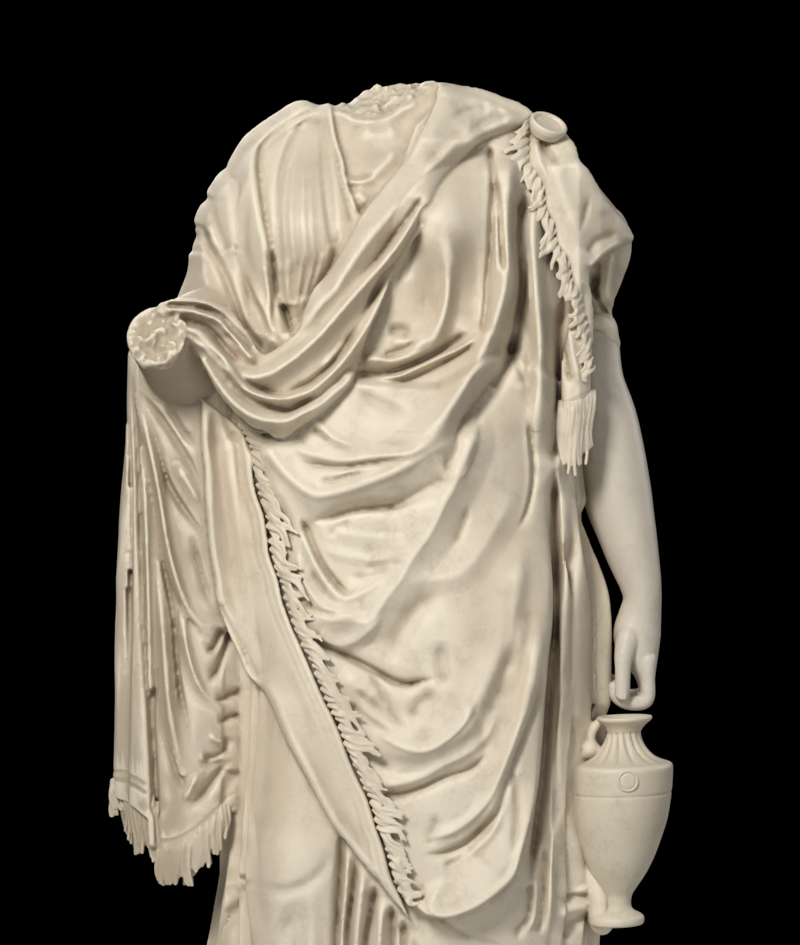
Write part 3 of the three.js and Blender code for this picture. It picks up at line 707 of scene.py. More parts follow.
for points, depth, width, fade in (
    ([(40,1440),(18,1407),(-1,1383),(-21,1355),(-33,1342),(-48,1326)],10,3.0,(.1,.3)),
    ([(52,1432),(36,1407),(23,1383),(11,1359),(-11,1337),(-23,1315),(-33,1295),(-42,1278)],15,(4.4,4.0),
    (.1,.25)),
    ([(-40,1282),(-52,1257),(-69,1233),(-84,1215),(-103,1198),(-120,1189),(-137,1181),(-157,1182),
    (-171,1189),(-190,1198),(-208,1215)],11,3.6,(.2,.1)),
    ([(-95,1186),(-113,1172),(-132,1160),(-147,1161),(-166,1169),(-190,1180),(-207,1196),(-222,1214)],
    10,3.8,(.2,.12)),
    ([(-296,1296),(-260,1294),(-239,1290),(-220,1281),(-210,1268),(-190,1249),(-177,1233)],12,4.0,(.05,.08)),
    ([(-292,1280),(-263,1275),(-244,1269),(-227,1254),(-217,1240),(-205,1228),(-193,1222)],12,3.6,(.05,.15)),
    ([(-284,1266),(-262,1258),(-244,1246),(-228,1230),(-214,1213)],8,3,(.1,.2)),
    ([(-222,1262),(-207,1250),(-195,1240)],5,2.4,(.3,.3)),
    ([(-236,1258),(-224,1246),(-214,1234)],4,2.2,(.3,.3)),
    ([(100,1535),(70,1506),(40,1476)],5,8,(.3,.3)),
    ([(150,1548),(120,1538),(96,1520)],7,6,(.2,.3)),
    ([(128,1556),(100,1552),(74,1540)],5,6,(.2,.3)),
):
    groove(roll, points, depth, width, fade)
bump(roll, [(170,1544),(140,1534),(108,1514),(84,1490)],7,9,(.2,.3))
roll = deepened(roll, 1.1, 0.5, 7)
print("roll:", roll.max().round(1), "mm deep")

# %% [markdown]
# ## The front border and its incised lines
#
# The mantle's front border falls from under the loop and slants over the thighs. It is a flat band that turns over
# once near the middle, with two thin lines cut beside its fringe.

# %% The front border
border = blank()
bump(border, beside(FLAP_LEFT[:9],7,0),6,8,(.1,.15))
bump(border, [(-232,1165),(-224,1090),(-214,1020),(-203,950),(-192,890)],-5,9,(.2,.3))
bump(border, [(-214,1120),(-204,1050),(-194,980),(-180,910),(-160,850)],4,12,(.2,.3))
groove(border, [(-204,1160),(-199,1100),(-192,1040),(-184,990)],4,5,(.1,.4))
groove(border, [(-222,1175),(-212,1140),(-198,1112)],9,7,(.05,.3))
groove(border, [(-196,1150),(-186,1120),(-182,1098)],7,5,(.05,.3))
groove(border, [(-228,909),(-214,886),(-199,858),(-184,828),(-172,806)],6,3.4,(.05,.1))
ridge(border, [(-236,930),(-222,893),(-207,862),(-193,832)],5,6,(.1,.2))
bump(border, beside(FLAP_LEFT[9:20],8,3),4,8,(.1,.2))
bump(border, [(-150,850),(-126,790),(-100,730),(-70,665),(-40,605),(-10,560)],-3,12,(.2,.2))
for offset in (20, 28):
    groove(border, [(x - offset, z - 3) for x, z in FRINGE],1.8,1.2,(.04,.04),0)
border = deepened(border, 1.3, 0.4)
print("border drawn")

# %% [markdown]
# ## The end that hangs from the forearm
#
# The mantle's other end falls from under the broken forearm in pleats. Long drilled folds run straight down at the
# outside, and at the inside the pleats bend into nested hooks where the cloth is gathered against the hip.

# %% The hanging end
hanging = blank()
groove(hanging, [(-338,1215),(-333,1120),(-329,1060),(-327,1000),(-324,955),(-321,900),(-319,860),
    (-316,800),(-314,760),(-310,690),(-307,620)],14,(3,4.4),(.2,.05))
groove(hanging, [(-315,944),(-314,900),(-313,850),(-311,790),(-309,740)],10,(3.4,2.4),(.06,.4))
for points, depth, width in (
    ([(-341,1190),(-341,1080),(-342,980),(-344,900),(-344,850),(-343,815),(-348,784)],10,(2.5,6)),
    ([(-336,1185),(-322,1140),(-308,1106),(-290,1062),(-270,1030),(-250,1004),(-238,985)],11,(3,5)),
    ([(-332,1190),(-300,1150),(-280,1120),(-262,1090),(-246,1052)],7,(3,7)),
    ([(-326,1140),(-312,1080),(-300,1020),(-289,960),(-278,926),(-262,888),(-250,872),(-236,865),
    (-222,872)],10,(3,5)),
    ([(-304,1010),(-296,950),(-288,900),(-283,850),(-277,800),(-268,760),(-263,728),(-252,714)],9,(3,5)),
    ([(-282,935),(-271,880),(-262,832),(-250,800),(-238,780),(-224,764)],9,(3,4.4)),
    ([(-297,800),(-291,752),(-281,700),(-268,662),(-258,640)],7,(4,6)),
    ([(-266,640),(-248,660),(-230,684),(-208,708)],11,(5,6)),
    ([(-254,704),(-234,699),(-214,706)],6,4),
    ([(-300,1180),(-284,1150),(-268,1126),(-250,1108)],6,5),
    ([(-262,1000),(-252,960),(-242,925),(-232,898)],6,(4,6)),
):
    groove(hanging, points, depth, width, (.35,.3))
for points, height, width in (
    ([(-332,1180),(-314,1110),(-302,1050),(-292,990),(-281,945),(-266,905),(-252,886),(-238,880),
    (-224,890)],9,(7,9)),
    ([(-326,1110),(-321,1040),(-318,960),(-316,880),(-314,800)],6,(6,6)),
    ([(-308,960),(-300,900),(-295,840),(-290,780),(-282,730),(-272,690)],8,(10,11)),
    ([(-274,900),(-266,850),(-256,815),(-244,792),(-228,776)],8,(6,8)),
    ([(-280,1090),(-262,1060),(-248,1036)],5,(8,10)),
    ([(-348,1140),(-348,1000),(-353,900),(-352,800),(-353,700)],4,(6,8)),
    ([(-252,690),(-262,668),(-272,650)],6,8),
    ([(-240,740),(-226,730),(-214,728)],6,7),
):
    ridge(hanging, points, height, width, (.3,.3))
for points, depth, width in (
    ([(-242,842),(-232,856),(-222,876)],10,(3,6)),
    ([(-240,802),(-228,828),(-216,856),(-208,876)],11,(3,7)),
    ([(-232,782),(-216,788),(-202,796)],9,(3,6)),
    ([(-228,754),(-214,760),(-204,764)],8,(3,5)),
    ([(-216,740),(-216,722),(-228,711),(-246,706)],7,4),
    ([(-222,640),(-216,662),(-208,692)],5,5),
):
    groove(hanging, points, depth, width, (.25,.05))
lip(hanging, [(-306,590),(-307,640),(-309,720),(-311,800),(-312,880)],7,4,60,(.02,.6))
for down in (0, 12):
    groove(hanging, [(-366,693-down),(-350,690-down),(-330,681-down),(-309,668-down)],1.8,1.2,(0,.03),0)
for down in (0, 17):
    groove(hanging, [(-306,600-down),(-283,602-down),(-255,617-down),(-233,637-down),(-208,662-down)],
        1.8,1.2,(.02,0),0)
hanging = deepened(hanging, 1.3, 0.5)
print("hanging end drawn")

# %% [markdown]
# ## The end pinned to the left shoulder
#
# A brooch holds the mantle's end on the left shoulder. It covers the shoulder like a short cape, with a pointed
# corner at the side, and a fringed strip of it falls in front of the arm.

# %% The shoulder end
shoulder = blank()
groove(shoulder, [(194,1513),(199,1500),(208,1489),(219,1478)],10,4.4,(.1,.3))
ridge(shoulder, [(186,1512),(190,1492),(198,1470),(206,1448)],5,(5,8),(.1,.4))
bump(shoulder, [(205,1500),(216,1460),(230,1420),(246,1380)],4,12,(.3,.3))
groove(shoulder, [(258,1444),(254,1428),(249,1408),(243,1386)],3.5,3.4,(.4,.4))
bump(shoulder, [(240,1500),(262,1455),(286,1412)],3,10,(.2,.2))
groove(shoulder, [(254,1362),(264,1378),(282,1387),(298,1390)],5,5,(.1,.35))
ridge(shoulder, [(256,1345),(268,1358),(284,1371),(302,1380)],5,(7,6),(.1,.2))
groove(shoulder, [(247,1330),(250,1300),(252,1260)],4,5,(.3,.3))
groove(shoulder, [(221,1262),(226,1224),(232,1192)],8,4,(.1,.2))
ridge(shoulder, [(214,1300),(228,1262),(238,1220),(244,1190)],5,8,(.2,.2))
for down in (0, 10):
    groove(shoulder, [(222,1168-down),(240,1176-down),(259,1187-down)],1.6,1.2,(0,0),0)
sleeve = blank()
for points, depth, width in (
    ([(261,1340),(266,1316),(274,1295),(284,1280)],8,4),
    ([(257,1330),(259,1306),(264,1289),(270,1280)],6,4),
    ([(272,1342),(277,1318),(282,1296),(286,1283)],8,3.6),
    ([(266,1346),(271,1322),(277,1300),(284,1285)],4,2.6),
):
    groove(sleeve, points, depth, width, (.15,.1))
bump(sleeve, [(272,1356),(270,1330),(272,1304)],-9,13,(.2,.3))
ridge(sleeve, [(286,1368),(283,1340),(282,1312),(287,1292)],7,(5,12),(.2,.2))
shoulder, sleeve = deepened(shoulder, 1.3, 0.4), deepened(sleeve, 1.4, 0.4)
print("shoulder end drawn")

# %% [markdown]
# ## The sides and the back
#
# The back is plainer, as it is on statues that stood against a wall: the mantle hangs in wide loops between the
# shoulders, and then in long slanting folds towards the left hip, with the tunic's upright folds below its edge.

# %% The sides and the back
back = blank()
fan(back, [(-170,1480),(-80,1425),(30,1400),(130,1430),(205,1500)],[(-225,1190),(-110,1085),(20,1060),
    (130,1150),(235,1290)],
    5,17,21,(.15,.1),stroke=bump,seed=11)
fan(back, [(-228,1130),(-120,1010),(20,970),(150,1060),(250,1230)],[(-212,600),(-120,505),(20,500),
    (150,590),(265,800)],
    7,18,24,(.08,.08),stroke=bump,seed=12)
fan(back, [(-180,1440),(-80,1390),(30,1365),(130,1400),(210,1470)],[(-225,1150),(-110,1050),(20,1025),
    (130,1115),(235,1250)],
    4,8,7,(.25,.2),seed=13)
fan(back, [(-228,1090),(-120,975),(20,935),(150,1025),(250,1190)],[(-212,570),(-120,480),(20,475),(150,560),
    (265,770)],
    6,9,7,(.2,.15),seed=14)
for points in ([(-150,900),(-60,840),(60,850),(170,930)],[(-190,1250),(-110,1180),(0,1150),(90,1190)],
    [(-60,700),(40,650),(150,690),(230,770)]):
    ridge(back, points, 9, (14,10), (.3,.3))
BACK_HEM = [(-245,420),(-120,360),(20,330),(150,350),(265,410)]
lip(back, BACK_HEM,14,6,90,(0,0))
fan(back, [(-225,380),(-228,240),(-230,70)],[(245,380),(250,240),(252,70)],12,15,11,(.1,.02),
    stroke=bump,seed=15)
fan(back, [(-210,380),(-213,240),(-215,70)],[(230,380),(235,240),(237,70)],12,8,6,(.1,.02),seed=16)
flank = blank()
fan(flank, [(-120,1120),(-128,600),(-130,70)],[(120,1120),(112,600),(118,70)],9,10,10,(.2,.02),
    stroke=bump,seed=17)
fan(flank, [(-104,1100),(-112,600),(-114,70)],[(108,1100),(104,600),(104,70)],9,8,5,(.2,.02),seed=18)
fan(flank, [(-60,1480),(-60,1330),(-40,1210)],[(60,1480),(60,1330),(50,1210)],4,5,8,(.3,.3),
    stroke=bump,seed=19)
back, flank = deepened(back, 1.1, 0.6), deepened(flank, 1.1, 0.6)
print("back drawn")

# %% [markdown]
# ## Skins, limbs and layers
#
# Three helpers turn numbers into closed shells, in millimetres. A `skin` is a tube of rows of points that is closed
# at both ends, a `limb` is a skin with round or oval sections along a smooth path, and a `layer` is a sheet of cloth
# inside an outline on the pane, with rounded edges. Modelling these by hand with extrude and sculpt brushes would
# work too, but the folds need thousands of exact moves, so the points are moved in code.

# %% Skins, limbs and layers


def skin(points):
    """Rows of points that go round anticlockwise, seen against the way the rows run. Returns a shell."""
    rows, columns, _ = points.shape
    index = np.arange(rows * columns).reshape(rows, columns)
    ahead = np.roll(index, -1, axis=1)
    quads = np.stack([index[:-1], ahead[:-1], ahead[1:], index[1:]], -1).reshape(-1, 4)
    first, last = rows * columns, rows * columns + 1
    start = np.stack([np.full(columns, first), ahead[0], index[0]], -1)
    finish = np.stack([np.full(columns, last), index[-1], ahead[-1]], -1)
    verts = np.vstack([points.reshape(-1, 3), points[0].mean(0), points[-1].mean(0)])
    return verts, quads, np.vstack([start, finish])


def path_of(knots, rows):
    line = flowing(knots, 12)
    run = np.r_[0, np.cumsum(np.linalg.norm(np.diff(line[:, :3], axis=0), axis=1))]
    at = np.linspace(0, run[-1], rows)
    return np.stack([np.interp(at, run, line[:, k]) for k in range(line.shape[1])], 1)


def limb(knots, rows, columns, towards=(0, 1, 0), round_ends=(True, True)):
    """Knots are (x, y, z, radius) or (x, y, z, radius, thickness); thickness is the radius along `towards`."""
    knots = np.array([k if len(k) == 5 else (*k, k[3]) for k in knots], float)
    line = path_of(knots, rows)
    centre, wide, thick = line[:, :3], line[:, 3], line[:, 4]
    along = np.gradient(centre, axis=0)
    along /= np.linalg.norm(along, axis=1, keepdims=True)
    side = np.cross(np.broadcast_to(np.array(towards, float), along.shape), along)
    side /= np.linalg.norm(side, axis=1, keepdims=True)
    up = np.cross(along, side)
    turn = np.linspace(0, 2 * math.pi, columns, endpoint=False)

    def ring(k, shrink, push):
        middle = centre[k] + along[k] * push
        return middle + shrink * (
            np.cos(turn)[:, None] * side[k] * wide[k] + np.sin(turn)[:, None] * up[k] * thick[k]
        )

    arc = np.radians([78, 62, 46, 30, 15])
    head = [ring(0, math.cos(a), -math.sin(a) * thick[0]) for a in arc] if round_ends[0] else []
    tail = [ring(-1, math.cos(a), math.sin(a) * thick[-1]) for a in arc[::-1]] if round_ends[1] else []
    return np.array(head + [ring(k, 1, 0) for k in range(rows)] + tail)


def outward(points):
    normal = np.cross(np.gradient(points, axis=1), np.gradient(points, axis=0))
    return normal / (np.linalg.norm(normal, axis=2, keepdims=True) + 1e-9)


def dress(points, front=None, rear=None, side=None):
    """Carries sheets of folds onto rows of points: one from the front, one from behind, one from the sides."""
    normal = outward(points)
    x, y, z = points[..., 0], points[..., 1], points[..., 2]
    moved = points.copy()
    if front is not None:
        facing = ease(0.0, 0.45, -normal[..., 1])[..., None]
        way = facing * np.array([0, -1, 0]) + (1 - facing) * normal
        lifted = ease(-0.3, 0.1, -normal[..., 1]) * read_pane(front, *onto_pane(x, y, z))
        moved += way * lifted[..., None]
    if rear is not None:
        moved[..., 1] += ease(0.1, 0.6, normal[..., 1]) * read_pane(rear, x, z)
    if side is not None:
        moved[..., 0] += ease(0.5, 0.95, np.abs(normal[..., 0])) * np.sign(normal[..., 0]) * read_pane(side,
            y, z)
    return moved


def layer(outline, depth, sheet, thickness, rounding, size=1.8):
    """A layer of cloth inside an outline on the pane. depth(x, z) is where its face lies."""
    edge = flowing(list(outline) + [outline[0]], 5)[:-1]
    lo, hi = edge.min(0), edge.max(0)
    x, z = np.meshgrid(np.arange(lo[0], hi[0] + size, size), np.arange(lo[1], hi[1] + size, size))
    into = within([tuple(p) for p in edge], x, z)
    share = 1 - np.clip(into / rounding, 0, 1)
    turned = rounding * (1 - np.sqrt(np.clip(1 - share**2, 0, 1)))
    y = depth(x, z)
    tx, _, tz = from_pane(x, y, z)
    y = depth(tx, tz)
    face = np.stack(from_pane(x, y - read_pane(sheet, x, z) + turned, z), -1)
    rear = np.stack(from_pane(x, y + thickness, z), -1)
    keep = into > 0
    cell = keep[:-1, :-1] & keep[:-1, 1:] & keep[1:, 1:] & keep[1:, :-1]
    padded = np.pad(cell, 1)
    number = np.arange(x.size).reshape(x.shape)
    a, b, c, d = number[:-1, :-1], number[:-1, 1:], number[1:, 1:], number[1:, :-1]
    far = x.size
    quads = [np.stack([a, b, c, d], -1)[cell], np.stack([a, d, c, b], -1)[cell] + far]
    for p, q, gone in (
        (a, b, ~padded[:-2, 1:-1]),
        (b, c, ~padded[1:-1, 2:]),
        (c, d, ~padded[2:, 1:-1]),
        (d, a, ~padded[1:-1, :-2]),
    ):
        open_edge = cell & gone
        quads.append(np.stack([p, p + far, q + far, q], -1)[open_edge])
    quads = np.vstack(quads)
    used, quads = np.unique(quads, return_inverse=True)
    verts = np.vstack([face.reshape(-1, 3), rear.reshape(-1, 3)])[used]
    return verts, quads.reshape(-1, 4), np.zeros((0, 3), int)


def make_object(name, shells):
    """One Blender object, in metres, from shells of (points, quads, triangles) in millimetres."""
    verts, loops, sizes, base = [], [], [], 0
    for points, quads, triangles in shells:
        verts.append(points)
        loops += [(quads + base).ravel(), (triangles + base).ravel()]
        sizes += [np.full(len(quads), 4), np.full(len(triangles), 3)]
        base += len(points)
    verts, loops, sizes = np.vstack(verts) / 1000, np.concatenate(loops), np.concatenate(sizes)
    mesh = bpy.data.meshes.new(name)
    mesh.vertices.add(len(verts))
    mesh.vertices.foreach_set("co", verts.astype(np.float32).ravel())
    mesh.loops.add(len(loops))
    mesh.loops.foreach_set("vertex_index", loops.astype(np.int32))
    mesh.polygons.add(len(sizes))
    mesh.polygons.foreach_set("loop_start", np.r_[0, np.cumsum(sizes)[:-1]].astype(np.int32))
    mesh.polygons.foreach_set("loop_total", sizes.astype(np.int32))
    mesh.update(calc_edges=True)
    mesh.validate()
    piece = bpy.data.objects.new(name, mesh)
    scene.collection.objects.link(piece)
    return piece


def grain_noise(points, size, seed):
    """Smooth noise from -1 to 1 at each point: random numbers on a lattice, blended between its corners."""
    chance = np.random.default_rng(seed)
    table = chance.uniform(-1, 1, 4096)
    at = points / size
    cell = np.floor(at).astype(int)
    t = at - cell
    t = t * t * (3 - 2 * t)
    total = np.zeros(points.shape[:-1])
    for i in (0, 1):
        for j in (0, 1):
            for k in (0, 1):
                weight = (
                    (t[..., 0] if i else 1 - t[..., 0])
                    * (t[..., 1] if j else 1 - t[..., 1])
                    * (t[..., 2] if k else 1 - t[..., 2])
                )
                key = (cell[..., 0] + i) * 73856093 ^ (cell[..., 1] + j) * 19349663 ^ (cell[...,
                    2] + k) * 83492791
                total += weight * table[key % 4096]
    return total


print("helpers ready")

# %% [markdown]
# ## The body
#
# The body's skin follows the oval sections, with its points closer together at the front, where the fine folds are.
# Then the sheets of folds are carried onto it.

# %% The body


BODY_OVAL = 2.3  # 2 is an ellipse, more is squarer


def even_shares(count, half, depth):
    """Shares from -1 to 1 across an oval, at even steps along its curve."""
    a = np.linspace(math.pi, 0, 2000)
    x = np.sign(np.cos(a)) * np.abs(np.cos(a)) ** (2 / BODY_OVAL)
    y = np.abs(np.sin(a)) ** (2 / BODY_OVAL)
    run = np.r_[0, np.cumsum(np.hypot(np.diff(x) * half, np.diff(y) * depth))]
    return np.interp(np.linspace(0, run[-1], count, endpoint=False), run, x)


heights = np.arange(SECTIONS[0, 0], SECTIONS[-1, 0] + 1, 2.0)
front_share = even_shares(360, 240, 150)
back_share = -even_shares(190, 240, 130)
share = np.r_[front_share, back_share]
is_front = np.r_[np.ones(len(front_share), bool), np.zeros(len(back_share), bool)]
Z, S = np.meshgrid(heights, share, indexing="ij")
left, right, widest_y, front_reach, back_reach = [section(Z, k) for k in range(1, 6)]
X = (left + right) / 2 + (right - left) / 2 * S
bulge = np.clip(1 - np.abs(S) ** BODY_OVAL, 0, 1) ** (1 / BODY_OVAL)
seat = 22 * np.exp(-(((Z - 900) / 150) ** 2) - ((X - 30) / 150) ** 2)
Y = np.where(
    is_front[None],
    widest_y - front_reach * bulge - swelling(X, Z) * np.clip(3 * bulge, 0, 1),
    widest_y + back_reach * bulge + seat * bulge,
)
body_points = dress(np.stack([X, Y, Z], -1), cloth, back, flank)
NECK_RINGS = 9
neck_rows = []
for k in range(1, NECK_RINGS):
    inward = 1 - k / NECK_RINGS
    row = body_points[-1].mean(0) + (body_points[-1] - body_points[-1].mean(0)) * inward
    row[:, 2] += 2.5 * math.sin(k / NECK_RINGS * math.pi / 2)
    neck_rows.append(row)
body_points = np.vstack([body_points, np.array(neck_rows)])


def broken(points, where, coarse, fine, seed):
    """A rough break: the points jump about by up to these amounts where `where` is 1."""
    rough = coarse * grain_noise(points, 11, seed) + fine * grain_noise(points, 4, seed + 1)
    tilt = 0.6 * coarse * grain_noise(points, 23, seed + 2)
    return points + ((rough + tilt) * where)[..., None] * np.array([0.35, -0.7, 0.7])


px, pz = onto_pane(body_points[..., 0], body_points[..., 1], body_points[..., 2])
NECK_EDGE = [(-92,1566),(-80,1556),(-66,1549),(-46,1543),(-19,1543),(-2,1548),(12,1557),(34,1567),(46,1576),
    (70,1600),(-92,1600)]
into_break = within(NECK_EDGE, px, pz) * (body_points[..., 1] < 60)
body_points[..., 1] += 0.9 * np.clip(into_break, 0, 22)
body_points = broken(body_points, ease(-1, 3, into_break), 4.6, 3.4, 5)
body = skin(body_points)
print("body:", body_points.shape[0], "rows of", body_points.shape[1], "points")

# %% [markdown]
# ## The right arm
#
# The upper arm is hidden under the mantle, so it is a limb that carries the same folds as the shoulder. The forearm
# comes forward out of the cloth and ends in a break, where the marble is coarse and uneven.

# %% The right arm
upper_arm = limb(
    [(-114,24,1506,34),(-150,20,1446,55),(-183,12,1396,64),(-198,2,1330,57),(-220,-16,1262,56),
    (-232,-22,1208,42)],
    260, 200)
upper_arm = dress(upper_arm, cloth, None, None)
forearm = limb([(-249,-12,1179,47),(-251,-26,1184,50),(-270,-90,1216,47),(-285,-145,1238,41),
    (-292,-186,1248,37.5)],
    120, 130, towards=(0, 0, 1), round_ends=(False, False))
stump = forearm[-1]
rings = [stump.mean(0) + (stump - stump.mean(0)) * (1 - k / 10) for k in range(1, 10)]
forearm = np.vstack([forearm, np.array(rings)])
end = ease(-176, -184, forearm[..., 1])
forearm = broken(forearm, end, 6.0, 5.5, 21)
over_the_arm = limb([(-284,-158,1262,22),(-262,-110,1272,29),(-238,-62,1284,32),(-214,-20,1290,36)], 60, 60)
print("right arm ready")

# %% [markdown]
# ## The layers of the mantle
#
# Each layer stands in front of the form behind it. The roll swings out from the chest to the forearm, the border
# lies on the thighs, the shoulder end hangs in front of the arm, and the hanging end is a pleated bag of cloth with a
# slanting hem in two steps.

# %% The layers of the mantle
ROLL_TOP = [(150,1566),(110,1580),(64,1582),(56,1562),(46,1538),(20,1491),(-12,1450),(-40,1414),(-58,1380),
    (-82,1341),(-103,1317),(-116,1286),(-122,1265),(-141,1248),(-158,1236),(-172,1236),(-188,1262),
    (-210,1290),(-238,1303),(-268,1307),(-296,1302),(-311,1290)]
ROLL_LOW = [(-303,1278),(-290,1270),(-268,1253),(-250,1226),(-231,1189),(-213,1165),(-186,1140),(-165,1132),
    (-151,1123),(-137,1125),(-116,1139),(-82,1161),(-51,1199),(-38,1237),(-30,1262),(-12,1303),(5,1345),
    (36,1393),(60,1450),(88,1482),(115,1508),(143,1519),(166,1527),(182,1537),(183,1548),(166,1560)]


def roll_depth(x, z):
    forward = np.interp(x, [-312,-285,-260,-215,-150,-100,-50,0,50,100,150],
        [-184,-190,-184,-168,-162,-160,-152,-136,-116,-90,-60])
    return np.minimum(forward + 0.75 * np.clip(z - 1500, 0, None), body_front(x, z, 30) - 15)


def border_depth(x, z):
    return body_front(x, z, 44) - 20


def shoulder_depth(x, z):
    across = np.interp(x, [150,200,238,266,292,318], [-62,-76,-80,-62,-34,2])
    return across + 0.75 * np.clip(z - 1470, 0, None)


chest_roll = layer(ROLL_TOP + ROLL_LOW, roll_depth, roll, 46, 20)
inner_side = [(x - 9, z - 3) for x, z in FRINGE[::-1]]
front_border = layer(FLAP_LEFT + inner_side, border_depth, border, 40, 7)
SHOULDER_EDGE = [(172,1538),(172,1515),(172,1494),(181,1470),(192,1449),(196,1421),(208,1400),(212,1373),
    (226,1352),(232,1324),(238,1300),(228,1262),(220,1225),(219,1190),(221,1162),(240,1167),(258,1178),
    (259,1215),(262,1260),(261,1300),(257,1325),(257,1341),(268,1353),(284,1366),(303,1376),(315,1383),
    (306,1402),(289,1421),(272,1445),(258,1470),(244,1486),(240,1501),(230,1516),(208,1534),(190,1545)]
shoulder_end = layer(SHOULDER_EDGE, shoulder_depth, shoulder, 40, 12)


def hem_height(x):
    outer = np.interp(x, [-370,-350,-330,-308], [667,664,655,640])
    inner = np.interp(x, [-308,-283,-255,-233,-206], [584,586,599,619,646])
    return outer + (inner - outer) * ease(-310, -306, x)


BAG_MIDDLE, BAG_HALF, BAG_Y, BAG_DEPTH = -276.0, 79.0, -26.0, 76.0
BAG_TOP, BAG_OVAL = 1256, 2.4
around = np.linspace(0, 2 * math.pi, 420, endpoint=False)
drop = np.linspace(0, 1, 330)
A, D = np.meshgrid(around, drop, indexing="ij")
A, D = A.T, D.T
shut = np.sqrt(np.clip(1 - ease(0.95, 1.0, D) ** 2 * 0.8, 0, 1))
mid_x = BAG_MIDDLE + 10 * D
half_x = (BAG_HALF - 6 * D) * shut
PX = mid_x + half_x * np.sign(np.cos(A)) * np.abs(np.cos(A)) ** (2 / BAG_OVAL)
bag_reach = BAG_DEPTH * (1 - 0.3 * D) * shut
PY = BAG_Y - 14 * D + bag_reach * np.sign(np.sin(A)) * np.abs(np.sin(A)) ** (2 / BAG_OVAL)
PZ = hem_height(PX) + D * (BAG_TOP - hem_height(PX))
hanging_end = dress(np.stack([PX, PY, PZ], -1), hanging, back * 0.5, flank * 0.5)
print("layers ready")

# %% [markdown]
# ## The left sleeve, the plinth and the feet
#
# The sleeve's folds run into a rolled hem above the elbow. The toes peep out under the skirt, and the plinth is a
# low slab with rounded corners.

# %% The left sleeve, the plinth and the feet
left_sleeve = dress(
    limb([(195,14,1482,40),(222,18,1440,45),(243,22,1400,55),(253,24,1377,60),(252,26,1340,52),
    (252,28,1300,39),(254,26,1278,34)],
        200, 180),
    sleeve, None, None)
HEM_X, HEM_Y, HEM_Z, HEM_RADIUS, HEM_THICK, HEM_DIP = 256, 26, 1274, 31, 11.5, 27
hem_knots = []
for a in np.radians(np.arange(-230, 171, 20)):
    dip = HEM_DIP * max(0, math.cos(a)) ** 3.5
    hem_knots.append((HEM_X + HEM_RADIUS * math.cos(a), HEM_Y + HEM_RADIUS * math.sin(a),
        HEM_Z - dip, HEM_THICK))
sleeve_hem = limb(hem_knots, 220, 28)
feet = [
    limb([(x,-60,104,40,34),(x-2,-110*r,98,40,28),(x-4,-160*r,86,38,19),(x-5,-186*r,80,33,12)],
    40, 60, towards=(0, 0, 1))
    for x, r in ((-128, 1.06), (98, 0.98))
]
corners = []
slab_x, slab_y, corner = 305, 205, 120
for cx, cy, start in ((1, 1, 0), (-1, 1, 90), (-1, -1, 180), (1, -1, 270)):
    for a in np.radians(np.linspace(start, start + 90, 24)):
        corners.append((cx * (slab_x - corner) + corner * math.cos(a),
            cy * (slab_y - corner) + corner * math.sin(a)))
corners = np.array(corners)
levels = [(0, 0.985), (0, 1.0), (4, 1.0), (20, 1.0), (40, 1.0), (60, 1.0), (66, 1.0), (70, 0.996),
    (72, 0.985), (72, 0.9)]
plinth = np.array([[(x * s, y * s, z) for x, y in corners] for z, s in levels])
print("sleeve, feet and plinth ready")

# %% [markdown]
# ## The bare left arm and its hand
#
# The arm is bare, so its skin is smooth, with soft hollows at the elbow and wrist. The hand once held the urn's
# handle: the thumb points down in front, and the fingers curl under towards the body. Each finger is a limb, and a
# later step fuses them.

# %% The bare left arm and its hand
arm_parts = [
    limb([(262,28,1262,34),(263,29,1200,40),(277,29,1150,43),(287,26,1100,44,45),(295,20,1046,44.5,44),
        (305.5,12,1003,38.8,39),(311.5,7,978,35.2,36),(317,3,957,31.6,33),(322.5,-1,935,27.4,29),
        (325,-3,915,24.8,27),(322,-3,894,27.6,26),(318,-3,870,31,28),(320,-2,852,28,28),(324,0,835,22,27),
        (328,2,819,15,26),(330,3,806,11,24)],
        190, 100),
    limb([(313,-10,880,16),(305,-20,862,16),(299,-29,842,12.5),(297.5,-33,825,10.3),(297,-34,806,9.8),
    (296.5,-34,793,9.8,8.8)], 60, 40),
    limb([(296.6,-41.6,800,5.6,1.8),(296.4,-41.9,788,6.2,1.8)], 12, 24),
]
FINGERS = ((-19, 9.6, 0), (-6, 9.4, 2), (7, 9.2, 3), (19, 8.4, 7))  # place, thickness, how far it stays up
for y, thick, rise in FINGERS:
    arm_parts.append(limb([(330.5,y,836,11),(330.5,y,812,thick),(330.6,y,792+rise,thick),
        (326,y,782.5+rise,thick),(312,y,780.5+rise,thick),(299,y,783+rise,thick*0.95),
        (289.5,y,791+rise,thick*0.9),(287.5,y,802+rise,thick*0.8)], 60, 36))
print("arm in", len(arm_parts), "limbs")

# %% [markdown]
# ## The urn
#
# A potter would throw the urn on a wheel, and the carver copies that shape: a foot, a slim stem, a belly that widens
# to a sharp shoulder, a fluted cone and a flaring mouth. The profile is turned round an axis that leans a little, and
# it goes down inside the mouth, because the vessel is hollow.

